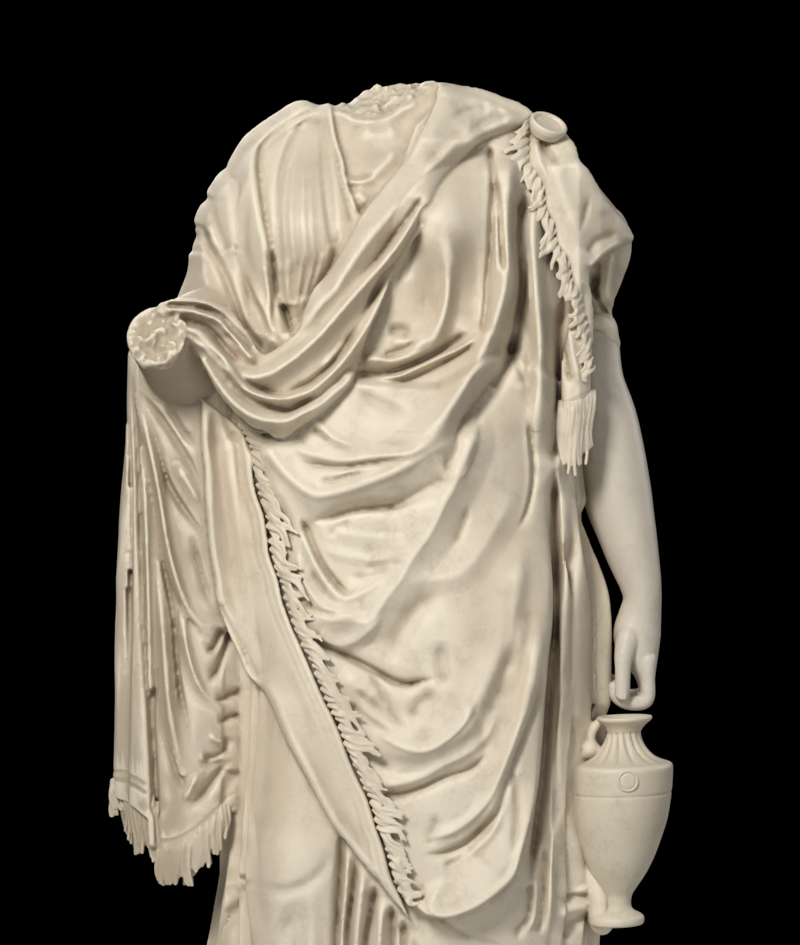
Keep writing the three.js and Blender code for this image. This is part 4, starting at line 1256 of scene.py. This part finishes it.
# %% The urn
URN_X, URN_Y, URN_FOOT, LEAN = 287.0, -60.0, 501.0, 0.038
OUTSIDE = [(5,503),(18,501.5),(32,501),(34.8,503),(35.4,507),(34.4,511),(30,514.6),(24,517.5),(19.8,521),
    (17.8,526),(17.6,532),(19.4,540),(25.5,550),(34.4,564),(41,577),(47.2,592),(55.2,617),(59.4,632),
    (61.6,645),(63.4,660),(63.8,668),(63.0,669.6),(63.2,671),(64.3,672.6),(64.8,684),(64.8,696),(64.5,702),
    (63,705.5),(59.5,707.6)]
SHOULDER = [(57,708.4),(49,711),(41,715),(34,720.5),(28.5,727),(24.6,734),(22.3,741),(21.6,747)]
MOUTH = [(22.2,748),(24.6,752.5),(28.6,757),(32.6,760.4),(35.2,763),(35.8,765.2),(34.6,767),(31.5,766.4),
    (27,763.5),(20,757),(14,750),(12,742)]
INSIDE = [(13,735),(20,724),(33,714),(46,703),(51,694),(50,665),(46,638),(40,615),(32,590),(22,567),(8,552),
    (2,549)]


def smooth_profile(points, every):
    line = flowing(points, 6)
    run = np.r_[0, np.cumsum(np.hypot(*np.diff(line, axis=0).T))]
    at = np.linspace(0, run[-1], max(2, round(run[-1] / every)))
    return np.stack([np.interp(at, run, line[:, 0]), np.interp(at, run, line[:, 1])], 1)


def thrown(profile, turn, flute):
    r, z = profile[:, :1] + flute, profile[:, 1:]
    axis_x = URN_X + LEAN * (z - URN_FOOT)
    tip = -LEAN * 0.9 * r * np.cos(turn)
    return np.stack([axis_x + r * np.cos(turn), URN_Y + r * np.sin(turn), z - tip], -1)


turn = np.linspace(0, 2 * math.pi, 128, endpoint=False)[None, :]
low, cone = smooth_profile(OUTSIDE, 2.0), smooth_profile(SHOULDER, 1.5)
upper, inner = smooth_profile(MOUTH, 1.6), smooth_profile(INSIDE, 6)
share = np.linspace(0, 1, len(cone))[:, None]
between_leaves = np.abs(np.sin(7 * (turn + 0.30 * share**2)))
flutes = -4.0 * np.exp(-((between_leaves / 0.46) ** 2)) * np.sin(math.pi * np.clip(share * 0.9 + 0.06, 0,
    1)) ** 0.5
flutes = flutes + 1.2 * between_leaves * np.sin(math.pi * share)
urn_rows = np.vstack([thrown(low, turn, 0), thrown(cone, turn, flutes), thrown(upper, turn, 0),
    thrown(inner, turn, 0)])
urn_shells = [skin(urn_rows)]


def button(profile, centre, facing, columns=64):
    """A round piece turned about `facing`. The profile gives (radius, height) from below to the top's middle."""
    axis = np.array(facing, float)
    axis /= np.linalg.norm(axis)
    u = np.cross((0.0, 0.0, 1.0) if abs(axis[2]) < 0.9 else (1.0, 0.0, 0.0), axis)
    u /= np.linalg.norm(u)
    v = np.cross(axis, u)
    a = np.linspace(0, 2 * math.pi, columns, endpoint=False)[:, None]
    out = np.cos(a) * u + np.sin(a) * v
    return np.array([np.array(centre) + out * r + axis * h for r, h in profile])


ROUNDEL = (296.5, URN_Y - 64.0, 690.5)
urn_shells.append(skin(button([(3,-5),(13.6,-5),(13.7,0),(13.4,1.6),(12.3,2.4),(11.2,1.9),(10.3,0.4),
    (9.7,0.3),(9.0,1.4),(8,1.7),(4,1.9),(1,1.9)],
    ROUNDEL, (0.03, -1, 0.03))))
handle = [
    skin(limb([(266,-60,760,6),(257,-60,750,6.5),(254,-60,738,6.5),(259,-60,726,7.5),(268,-60,719,9)],
    30, 24)),
    skin(limb([(222,-40,726,15,13),(240,-52,726,14,12.5),(252,-60,725,13.5,12)],
    20, 30, round_ends=(True, True))),
    skin(limb([(262,-46,560,20,26),(266,-52,530,18,24),(268,-56,508,17,22)], 24, 32)),
]
print("urn: rim", 2 * MOUTH[5][0], "mm across,", MOUTH[6][1] - OUTSIDE[2][1], "mm tall")

# %% [markdown]
# ## The brooch
#
# The mantle's end is pinned on the left shoulder by a round brooch that lies on the slope of the shoulder: a thick
# disc with a raised rim and a shallow dish inside it.

# %% The brooch
brooch_shells = [skin(button(
    [(4,-16),(20,-16),(23,-9),(24.6,-6),(25.2,-2),(24.8,1.2),(23.2,3.0),(21.2,3.0),(19.4,1.4),(18.6,-0.8),
    (17.2,-1.8),(15.4,-1.0),(12,-2.0),(7,-2.6),
        (2,-2.8)],
    (201.0, -52.0, 1526.5), (0.34, -0.56, 0.76), 96))]
print("brooch ready")

# %% [markdown]
# ## The fringes
#
# Fringes are twisted threads, carved in tufts. Each tuft is a few thin wavy limbs side by side that part a little at
# the tip, and every tuft differs in length, thickness and wave, by a seeded random number.

# %% The fringes


def tuft(root, tip, depth, thick, wave, chance, threads=3, count=6, gather=0.6):
    """Wavy threads between two points on the pane, lying a little in front of depth(x, z)."""
    made = []
    dx, dz = tip[0] - root[0], tip[1] - root[1]
    length = math.hypot(dx, dz)
    nx, nz = -dz / length, dx / length
    phase, bend = chance.uniform(0, 2 * math.pi), chance.uniform(0.6, 1.3) * wave
    for thread in range(threads):
        across = (thread - (threads - 1) / 2) * thick * 1.35
        reach, lift = chance.uniform(0.82, 1.08), chance.uniform(-0.5, 2.5)
        own = chance.uniform(-0.5, 0.5)
        knots = []
        for k in range(count):
            t = k / (count - 1)
            sway = bend * math.sin(phase + own + t * 5.0) * (0.3 + t) + across * (1 - gather * t)
            x, z = root[0] + dx * t * reach + nx * sway, root[1] + dz * t * reach + nz * sway
            tucked = 7 * max(0, 1 - t * length / 10)
            y = float(depth(np.array(x), np.array(z))) - lift * math.sin(math.pi * t) - thick * 0.6 + tucked
            tx, _, tz = from_pane(x, y, z)
            knots.append((tx, y, tz, thick * (1.1 - 0.35 * t)))
        made.append(skin(limb(knots, 4 * count, 8, towards=(0.1, 1, 0.1))))
    return made


def fringe_tufts(line, count, lengths, slant, way_out, depth, thick, wave, chance, seat=8):
    """Tufts along a line. `way_out` is 1 for tufts on the left of the line's direction, -1 for the right."""
    tufts = []
    at = evenly(line, count)
    for k, (x, z) in enumerate(at):
        ahead = at[min(k + 1, count - 1)] - at[max(k - 1, 0)]
        ahead = ahead / np.linalg.norm(ahead)
        out = way_out * np.array([-ahead[1], ahead[0]])
        size = lengths(z) * chance.uniform(0.7, 1.2)
        lean_by = slant + chance.uniform(-0.25, 0.2)
        way = out * math.cos(lean_by) + ahead * math.sin(lean_by)
        root = np.array([x, z]) - way * seat
        tufts += tuft(root, root + way * (size + seat), depth, thick * chance.uniform(0.85, 1.15),
            wave, chance)
    return tufts


chance = np.random.default_rng(31)
front_tufts = fringe_tufts(FRINGE, 62, lambda z: 35 if z > 640 else 35 - 14 * (640 - z) / 110, 1.08, 1,
    lambda a, b: border_depth(a, b) - 1, 2.5, 4.0, chance)
SHOULDER_FRINGE = [(178,1532),(170,1515),(171,1494),(178,1470),(191,1449),(194,1421),(206,1400),(210,1373),
    (224,1352),(230,1324),(241,1303),(243,1282),(251,1258),(253,1237),(256,1213)]
shoulder_tufts = fringe_tufts(SHOULDER_FRINGE, 30, lambda z: 24 if z > 1330 else 17, 0.95, -1,
    lambda a, b: np.minimum(shoulder_depth(a, b) - 1, body_front(a, b, 30) - 9), 2.7, 2.6, chance, 5)
for k, tip_z in enumerate((1084, 1092, 1080, 1074, 1094, 1116)):
    x = 223 + 6.6 * k
    shoulder_tufts += tuft((x, 1170 + 2.8 * k), (x - 3 + 3 * (k % 2), tip_z),
        lambda a, b: shoulder_depth(a, b) + 4,
        chance.uniform(3.0, 3.6), chance.uniform(2, 4), chance, 3, 9, 0.2)


def bag_face(side):
    def depth(x, z):
        share = np.clip((x - BAG_MIDDLE + 2) / BAG_HALF, -0.97, 0.97)
        return BAG_Y + side * BAG_DEPTH * (1 - np.abs(share) ** BAG_OVAL) ** (1 / BAG_OVAL) + 4 * (side < 0)
    return depth


HEM_LENGTH, HEM_START = 146, -358.5
hanging_tufts = []
for side, spacing in ((-1, 8.2), (1, 12.5)):
    for k in range(round(HEM_LENGTH / spacing)):
        x = HEM_START + spacing * k
        drop_to = float(np.interp(x, [-364, -350, -338, -325, -306, -303, -289, -272, -258, -242, -225, -214],
            [642, 632, 594, 584, 582, 552, 540, 546, 556, 576, 590, 612])) + chance.uniform(-6, 6)
        top = float(hem_height(np.array(x))) + 12
        hanging_tufts += tuft((x, top), (x - 2 + 4 * (k % 2), min(drop_to, top - 26)), bag_face(side),
            chance.uniform(3.1, 3.8), chance.uniform(1.6, 3.0), chance, 3, 7, 0.15)
print(len(front_tufts), "threads on the front,", len(shoulder_tufts),
    "on the shoulder,", len(hanging_tufts), "at the hanging end")

# %% [markdown]
# ## Fusing the block
#
# The real statue is one block, so the body, the sleeves and the layers of cloth must be one skin too. A voxel remesh
# fuses them, a light smoothing takes off the grid's steps, and a decimation saves triangles where the marble is
# plain. Two cuts through the block, further on, keep each mesh small enough to handle.


def only(piece):
    bpy.ops.object.select_all(action="DESELECT")
    piece.select_set(True)
    bpy.context.view_layer.objects.active = piece


def fuse(piece, voxel, smooth, triangles):
    only(piece)
    step = piece.modifiers.new("fuse", "REMESH")
    step.mode = "VOXEL"
    step.voxel_size = voxel * 1
    bpy.ops.object.modifier_apply(modifier=step.name)
    step = piece.modifiers.new("smooth", "SMOOTH")
    step.factor, step.iterations = 0.5, smooth
    bpy.ops.object.modifier_apply(modifier=step.name)
    found = sum(len(p.vertices) - 2 for p in piece.data.polygons)
    if found > triangles:
        step = piece.modifiers.new("thin", "DECIMATE")
        step.ratio = triangles / found
        bpy.ops.object.modifier_apply(modifier=step.name)
    print(piece.name, "fused:", found, "triangles, kept", min(found, triangles))


block = make_object("statue_block", [
    body, skin(upper_arm), skin(forearm), skin(over_the_arm),
    chest_roll, front_border, shoulder_end, skin(hanging_end),
    skin(left_sleeve), skin(sleeve_hem), skin(plinth), *[skin(foot) for foot in feet], *handle,
])
arm = make_object("left_arm_and_hand", [skin(part) for part in arm_parts])
front_fringe = make_object("front_fringe", front_tufts)
shoulder_fringe = make_object("shoulder_fringe", shoulder_tufts)
hanging_fringe = make_object("hanging_fringe", hanging_tufts)
brooch = make_object("brooch", brooch_shells)
for piece, voxel, smooth, triangles in (
    (block, 0.0022, 1, 530000),
    (arm, 0.0016, 4, 60000),
    (front_fringe, 0.0012, 1, 90000),
    (shoulder_fringe, 0.0012, 1, 70000),
    (hanging_fringe, 0.0013, 1, 80000),
    (brooch, 0.0012, 1, 12000),
):
    fuse(piece, voxel, smooth, triangles)
urn = make_object("urn", urn_shells)

# %% [markdown]
# ## How open and how hollow each place is
#
# The material paints shade into enclosed places and creases, mixed with some real soiling of old marble. For every
# point of the skin a few rays are
# sent out: the share that gets away says how open the place is. A second number says how hollow or how sharp the
# skin is close by. Both are stored on the mesh for the material.

# %% How open and how hollow each place is


def positions(mesh):
    flat = np.empty(len(mesh.vertices) * 3, np.float32)
    mesh.vertices.foreach_get("co", flat)
    return flat.reshape(-1, 3).astype(float)


def normals(mesh):
    flat = np.empty(len(mesh.vertices) * 3, np.float32)
    mesh.vertices.foreach_get("normal", flat)
    return flat.reshape(-1, 3).astype(float)


def neighbour_mean(mesh, values, times):
    ends_of = np.empty(len(mesh.edges) * 2, np.int32)
    mesh.edges.foreach_get("vertices", ends_of)
    a, b = ends_of.reshape(-1, 2).T
    count = np.bincount(a, minlength=len(values)) + np.bincount(b, minlength=len(values)) + 1.0
    for _ in range(times):
        summed = values.copy()
        for k in range(values.shape[1]):
            summed[:, k] += np.bincount(a, values[b, k], len(values)) + np.bincount(b, values[a, k],
                len(values))
        values = summed / count[:, None]
    return values


def store(mesh, name, values):
    layer_of = mesh.attributes.new(name, "FLOAT", "POINT")
    layer_of.data.foreach_set("value", np.clip(values, 0, 1).astype(np.float32))


RAY_REACH, RAY_START, PROXY_SHARE = 0.09, 0.0025, 0.2
pieces = [block, arm, front_fringe, shoulder_fringe, hanging_fringe, brooch, urn]
only(block)
proxy = block.copy()
proxy.data = block.data.copy()
scene.collection.objects.link(proxy)
only(proxy)
for piece in pieces[1:]:
    double = piece.copy()
    double.data = piece.data.copy()
    scene.collection.objects.link(double)
    double.select_set(True)
bpy.ops.object.join()
step = proxy.modifiers.new("thin", "DECIMATE")
step.ratio = PROXY_SHARE
bpy.ops.object.modifier_apply(modifier=step.name)
tree = BVHTree.FromObject(proxy, bpy.context.evaluated_depsgraph_get())
bpy.data.objects.remove(proxy)

ray_turns = np.radians([0, 72, 144, 216, 288, 36, 156, 276])
ray_tilts = np.radians([58, 58, 58, 58, 58, 28, 28, 28])
for piece in pieces:
    mesh = piece.data
    at, up = positions(mesh), normals(mesh)
    helper = np.where(np.abs(up[:, :1]) < 0.9, [[1.0, 0, 0]], [[0, 1.0, 0]])
    u = np.cross(up, helper)
    u /= np.linalg.norm(u, axis=1, keepdims=True) + 1e-9
    v = np.cross(up, u)
    start = at + up * RAY_START
    free = np.zeros(len(at))
    for turn_by, tilt_by in zip(ray_turns, ray_tilts):
        way = up * math.cos(tilt_by) + (u * math.cos(turn_by) + v * math.sin(turn_by)) * math.sin(tilt_by)
        cast = tree.ray_cast
        for k, (origin, direction) in enumerate(zip(start.tolist(), way.tolist())):
            reach = cast(origin, direction, RAY_REACH)[3]
            free[k] += 1 if reach is None else min(1.0, reach / RAY_REACH)
    free = neighbour_mean(mesh, (free / len(ray_turns))[:, None], 4)[:, 0]
    close = ((neighbour_mean(mesh, at, 3) - at) * up).sum(1) / 0.0009
    wide = ((neighbour_mean(mesh, at, 14) - at) * up).sum(1) / 0.0030
    store(mesh, "openness", free)
    store(mesh, "hollow", 0.5 + 0.5 * (0.5 * close + 0.5 * wide))
print("openness and hollows stored on", len(pieces), "pieces")

# %% [markdown]
# ## Soiling with painted shade, and grain, as shared node groups
#
# Two effects are used on the cloth, on the polished skin and on the urn, so each is a node group. `grime_and_shade`
# turns the stored openness and hollows into one mask for soiling mixed with painted shade, one for painted shade in
# the deepest hollows, and one for worn edges. `grain` gives a fine colour change and a height for crystals, pits and
# tool marks.

# %% Soiling with painted shade, and grain, as shared node groups


def new_group(name, inputs, outputs):
    tree = bpy.data.node_groups.new(name, "ShaderNodeTree")
    for title, value in inputs:
        tree.interface.new_socket(name=title, in_out="INPUT",
            socket_type="NodeSocketFloat").default_value = value
    for title in outputs:
        tree.interface.new_socket(name=title, in_out="OUTPUT", socket_type="NodeSocketFloat")
    return tree, tree.nodes.new("NodeGroupInput"), tree.nodes.new("NodeGroupOutput")


def add(tree, kind, **values):
    node = tree.nodes.new(kind)
    for name, value in values.items():
        setattr(node, name, value)
    return node


def feed(tree, socket, source):
    if isinstance(source, (int, float, tuple)):
        socket.default_value = source
    else:
        tree.links.new(source, socket)


def maths(tree, operation, a, b=0.0, clamp=False):
    node = add(tree, "ShaderNodeMath", operation=operation, use_clamp=clamp)
    feed(tree, node.inputs[0], a)
    feed(tree, node.inputs[1], b)
    return node.outputs[0]


def spread(tree, value, low, high, to_low=0.0, to_high=1.0):
    node = add(tree, "ShaderNodeMapRange", interpolation_type="SMOOTHSTEP")
    feed(tree, node.inputs["Value"], value)
    for title, number in (("From Min", low), ("From Max", high), ("To Min", to_low), ("To Max", to_high)):
        node.inputs[title].default_value = number
    return node.outputs["Result"]


def cloudy(tree, scale, detail, rough=0.5, stretch=(1, 1, 1)):
    place = add(tree, "ShaderNodeTexCoord")
    shape = add(tree, "ShaderNodeMapping")
    shape.inputs["Scale"].default_value = stretch
    tree.links.new(place.outputs["Object"], shape.inputs["Vector"])
    node = add(tree, "ShaderNodeTexNoise")
    tree.links.new(shape.outputs["Vector"], node.inputs["Vector"])
    node.inputs["Scale"].default_value, node.inputs["Detail"].default_value = scale, detail
    node.inputs["Roughness"].default_value = rough
    return node.outputs["Fac"]


grime_and_shade, grime_and_shade_in, grime_and_shade_out = new_group("grime_and_shade", [("Amount", 1.0)], ["Dirt", "Deep", "Edge"])
openness = add(grime_and_shade, "ShaderNodeAttribute", attribute_name="openness").outputs["Fac"]
hollow = add(grime_and_shade, "ShaderNodeAttribute", attribute_name="hollow").outputs["Fac"]
patchy = cloudy(grime_and_shade, 14, 6, 0.6)
# The first mask is partly real soiling and partly painted shade: it grows where the rays find the place closed in,
# and in creases.
closed = spread(grime_and_shade, openness, 0.75, 0.15)
in_crease = spread(grime_and_shade, hollow, 0.52, 0.85)
both = maths(grime_and_shade, "ADD", maths(grime_and_shade, "MULTIPLY", closed, 0.75), maths(grime_and_shade, "MULTIPLY", in_crease, 0.55))
uneven = maths(grime_and_shade, "MULTIPLY", both, spread(grime_and_shade, patchy, 0.25, 0.75, 0.55, 1.25))
dirt_and_shade = maths(grime_and_shade, "MULTIPLY", uneven, grime_and_shade_in.outputs["Amount"], True)
grime_and_shade.links.new(dirt_and_shade, grime_and_shade_out.inputs["Dirt"])
# The second mask is painted shade only: it darkens the most enclosed hollows, such as the drilled channels, nearly to
# black.
deep = maths(grime_and_shade, "MULTIPLY", spread(grime_and_shade, openness, 0.34, 0.06), spread(grime_and_shade, hollow, 0.42, 0.80), True)
grime_and_shade.links.new(deep, grime_and_shade_out.inputs["Deep"])
edge = maths(grime_and_shade, "MULTIPLY", spread(grime_and_shade, hollow, 0.46, 0.20), spread(grime_and_shade, openness, 0.5, 0.9), True)
grime_and_shade.links.new(edge, grime_and_shade_out.inputs["Edge"])

grain, grain_in, grain_out = new_group("grain", [("Roughness", 1.0), ("Pits", 1.0)],
    ["Tint", "Mottle", "Height"])
crystals = cloudy(grain, 900, 3, 0.6)
dressing = cloudy(grain, 160, 5, 0.65)
weather = cloudy(grain, 26, 8, 0.62)
clouds = cloudy(grain, 4.5, 4, 0.5, (1, 1, 0.6))
place = add(grain, "ShaderNodeTexCoord")
pits = add(grain, "ShaderNodeTexVoronoi")
pits.inputs["Scale"].default_value = 95
grain.links.new(place.outputs["Object"], pits.inputs["Vector"])
holes = maths(grain, "MULTIPLY", spread(grain, pits.outputs["Distance"], 0.16, 0.02),
    spread(grain, weather, 0.52, 0.66))
holes = maths(grain, "MULTIPLY", holes, grain_in.outputs["Pits"])
height = maths(grain, "ADD", maths(grain, "MULTIPLY", crystals, 0.25),
    maths(grain, "MULTIPLY", dressing, 0.55))
height = maths(grain, "ADD", height, maths(grain, "MULTIPLY", weather, 0.9))
height = maths(grain, "MULTIPLY", height, grain_in.outputs["Roughness"])
grain.links.new(maths(grain, "SUBTRACT", height, maths(grain, "MULTIPLY", holes, 1.4)),
    grain_out.inputs["Height"])
grain.links.new(clouds, grain_out.inputs["Tint"])
grain.links.new(maths(grain, "ADD", maths(grain, "MULTIPLY", weather, 0.7),
    maths(grain, "MULTIPLY", dressing, 0.3)),
    grain_out.inputs["Mottle"])
print("node groups:", [tree.name for tree in bpy.data.node_groups])

# %% [markdown]
# ## The marble
#
# The block is warm white marble that has gone ivory, with paler worn edges. Its hollows are painted brown, partly as
# soiling and partly as painted shade; painted shade also darkens the drilled channels nearly to black, the hanging
# end and the forearm's underside, and the top is a little darker. The bare arm and the urn were polished, so the same
# recipe is mixed greyer, cleaner and smoother for them.

# %% The marble


def mixed(tree, share, first, second):
    node = add(tree, "ShaderNodeMix", data_type="RGBA")
    feed(tree, node.inputs[0], share)
    feed(tree, node.inputs[6], first)
    feed(tree, node.inputs[7], second)
    return node.outputs[2]


def marble(name, light, warm, dust_and_shade, channel_shade, dirt_and_shade_amount, rough, coarse, pits_amount, painted_shade_and_top_tone=0.0):
    material = bpy.data.materials.new(name)
    material.use_nodes = True
    tree = material.node_tree
    shader = tree.nodes["Principled BSDF"]
    grime_and_shade_node = add(tree, "ShaderNodeGroup", node_tree=grime_and_shade)
    grime_and_shade_node.inputs["Amount"].default_value = dirt_and_shade_amount
    grainy = add(tree, "ShaderNodeGroup", node_tree=grain)
    grainy.inputs["Roughness"].default_value, grainy.inputs["Pits"].default_value = coarse, pits_amount
    colour = mixed(tree, spread(tree, grainy.outputs["Tint"], 0.38, 0.64), light, warm)
    darker = tuple(v * 0.80 for v in warm[:3]) + (1,)
    colour = mixed(tree, spread(tree, grainy.outputs["Mottle"], 0.46, 0.68, 0, 0.55), colour, darker)
    place = add(tree, "ShaderNodeSeparateXYZ")
    tree.links.new(add(tree, "ShaderNodeTexCoord").outputs["Object"], place.inputs[0])
    # Darker towards the top of the figure; painted shade on the outer left, where the hanging end lies back from the
    # light.
    high = spread(tree, place.outputs["Z"], 0.95, 1.36, 0.0, 0.4)
    outer = spread(tree, place.outputs["X"], -0.195, -0.245, 0.0, 0.95)
    top_tone_and_side_shade = maths(tree, "MAXIMUM", high, outer)
    top_tone_and_side_shade = maths(tree, "MULTIPLY", top_tone_and_side_shade, spread(tree, grainy.outputs["Tint"], 0.30, 0.62, 0.45, 1.0))
    colour = mixed(tree, maths(tree, "MULTIPLY", top_tone_and_side_shade, painted_shade_and_top_tone),
        colour, tuple(v * 0.72 for v in warm[:3]) + (1,))
    # Painted shade: the underside of the right forearm, beyond the elbow and towards the front, is mixed to a dark
    # brown.
    beyond_elbow = spread(tree, place.outputs["X"], -0.252, -0.276)
    forward = spread(tree, place.outputs["Y"], -0.05, -0.10)
    forearm_shade = maths(tree, "MULTIPLY", maths(tree, "MULTIPLY", beyond_elbow, forward), painted_shade_and_top_tone)
    colour = mixed(tree, forearm_shade, colour, (0.40, 0.335, 0.24, 1))
    # Painted shade, with some real soiling, in the hollows; painted shade, nearly black, in the drilled channels.
    colour = mixed(tree, grime_and_shade_node.outputs["Dirt"], colour, dust_and_shade)
    colour = mixed(tree, grime_and_shade_node.outputs["Deep"], colour, channel_shade)
    paler = tuple(min(1, v * 1.10) for v in light[:3]) + (1,)
    colour = mixed(tree, maths(tree, "MULTIPLY", grime_and_shade_node.outputs["Edge"], 0.7), colour, paler)
    tree.links.new(colour, shader.inputs["Base Color"])
    roughness = maths(tree, "ADD", maths(tree, "MULTIPLY", grime_and_shade_node.outputs["Dirt"], 0.25), rough)
    roughness = maths(tree, "ADD", roughness, spread(tree, grainy.outputs["Mottle"], 0.4, 0.7, -0.05, 0.10),
        True)
    tree.links.new(roughness, shader.inputs["Roughness"])
    relief = add(tree, "ShaderNodeBump")
    relief.inputs["Strength"].default_value = 0.55
    relief.inputs["Distance"].default_value = 0.0011
    tree.links.new(grainy.outputs["Height"], relief.inputs["Height"])
    tree.links.new(relief.outputs["Normal"], shader.inputs["Normal"])
    shader.inputs["Specular IOR Level"].default_value = 0.42
    shader.inputs["Subsurface Weight"].default_value = 0.06
    shader.inputs["Subsurface Radius"].default_value = (0.006, 0.004, 0.0025)
    shader.inputs["Subsurface Scale"].default_value = 1.0
    return material


# In each recipe the third colour is painted shade mixed with soiling for the hollows, and the fourth is painted
# shade, nearly black, for the drilled channels.
cloth_marble = marble("weathered marble", (0.73, 0.66, 0.53, 1), (0.63, 0.54, 0.41, 1),
    (0.29, 0.225, 0.155, 1),(0.075, 0.062, 0.05, 1), 0.88, 0.56, 1.0, 1.0, 0.9)
skin_marble = marble("polished marble", (0.66, 0.61, 0.52, 1), (0.58, 0.52, 0.43, 1), (0.27, 0.23, 0.17, 1),
    (0.08, 0.07, 0.06, 1), 0.55, 0.46, 0.5, 0.4)
urn_marble = marble("smooth marble", (0.64, 0.58, 0.46, 1), (0.57, 0.50, 0.38, 1), (0.26, 0.22, 0.15, 1),
    (0.07, 0.06, 0.05, 1), 0.75, 0.5, 0.7, 0.8)
print("materials:", [m.name for m in (cloth_marble, skin_marble, urn_marble)])

# %% [markdown]
# ## Cutting the block and handing over the pieces
#
# Two level cuts part the block into three closed meshes. Every piece rides on the one rigid body and stands for the
# solid model's statue.

# %% Cutting the block and handing over the pieces


def part_of(source, name, below=None, above=None):
    piece = source.copy()
    piece.data = source.data.copy()
    piece.name = piece.data.name = name
    scene.collection.objects.link(piece)
    only(piece)
    for height, clear_above in ((below, True), (above, False)):
        if height is None:
            continue
        bpy.ops.object.mode_set(mode="EDIT")
        bpy.ops.mesh.select_all(action="SELECT")
        bpy.ops.mesh.bisect(plane_co=(0, 0, height), plane_no=(0, 0, 1), use_fill=True,
            clear_outer=clear_above, clear_inner=not clear_above)
        bpy.ops.object.mode_set(mode="OBJECT")
    return piece


LOW_CUT, HIGH_CUT = 0.70, 1.13
lower = part_of(block, "skirt_and_plinth", below=LOW_CUT)
middle = part_of(block, "mantle_over_the_hips", below=HIGH_CUT, above=LOW_CUT)
higher = part_of(block, "chest_and_shoulders", above=HIGH_CUT)
bpy.data.objects.remove(block)
for piece, finish_of in (
    (lower, cloth_marble), (middle, cloth_marble), (higher, cloth_marble), (arm, skin_marble),
    (front_fringe, cloth_marble), (shoulder_fringe, cloth_marble), (hanging_fringe, cloth_marble),
    (brooch, cloth_marble), (urn, urn_marble),
):
    piece.data.materials.clear()
    piece.data.materials.append(finish_of)
    only(piece)
    bpy.ops.object.shade_smooth_by_angle(angle=math.radians(75))
    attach(piece, "root")
    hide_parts("statue")
    triangles = sum(len(p.vertices) - 2 for p in piece.data.polygons)
    print(piece.name, triangles, "triangles")

# %% [markdown]
# ## The floor, the lights and the camera
#
# The statue stands on a pale floor in soft light from the upper left, with a weaker fill from the right, so the
# folds keep their shadows. The room behind is dark, as in a gallery.

# %% The floor, the lights and the camera
bpy.ops.object.select_all(action="DESELECT")
bpy.ops.mesh.primitive_circle_add(vertices=96, radius=1.6, fill_type="NGON", location=(0, 0, 0))
floor = bpy.context.active_object
floor.name = "floor"
floor_paint = bpy.data.materials.new("pale floor")
floor_paint.use_nodes = True
floor_paint.node_tree.nodes["Principled BSDF"].inputs["Base Color"].default_value = (0.55, 0.54, 0.52, 1)
floor_paint.node_tree.nodes["Principled BSDF"].inputs["Roughness"].default_value = 0.7
floor.data.materials.append(floor_paint)

world = bpy.data.worlds.new("dark room")
scene.world = world
world.use_nodes = True
world.node_tree.nodes["Background"].inputs["Color"].default_value = (0.0, 0.0, 0.0, 1)
scene.view_settings.view_transform = "Standard"


def softbox(name, place, aim, size, power, colour):
    light = bpy.data.lights.new(name, "AREA")
    light.shape, light.size, light.energy, light.color = "SQUARE", size, power, colour
    lamp = bpy.data.objects.new(name, light)
    scene.collection.objects.link(lamp)
    lamp.location = place
    lamp.rotation_euler = (Vector(aim) - Vector(place)).to_track_quat("-Z", "Y").to_euler()


softbox("key light", (-1.2, -2.8, 2.9), (0, 0, 1.0), 0.9, 118, (1.0, 0.98, 0.95))
softbox("fill light", (2.4, -3.0, 1.9), (0, 0, 1.0), 1.8, 19, (0.97, 0.98, 1.0))
softbox("low front light", (0.2, -3.9, 0.6), (0, 0, 0.9), 1.6, 19, (1.0, 0.98, 0.95))
softbox("back light", (-1.2, 3.0, 2.8), (0, 0, 1.0), 1.8, 70, (1.0, 0.98, 0.95))
softbox("side light", (3.0, 1.4, 2.2), (0, 0, 1.0), 1.6, 30, (1.0, 0.98, 0.95))

view = bpy.data.cameras.new("viewer")
view.sensor_width, view.lens = 36, 111.6
viewer = bpy.data.objects.new("viewer", view)
scene.collection.objects.link(viewer)
viewer.location = EYE / 1000
viewer.rotation_euler = (math.radians(90), 0, 0)
scene.camera = viewer
print("camera", [round(v, 3) for v in viewer.location], "lens", view.lens)
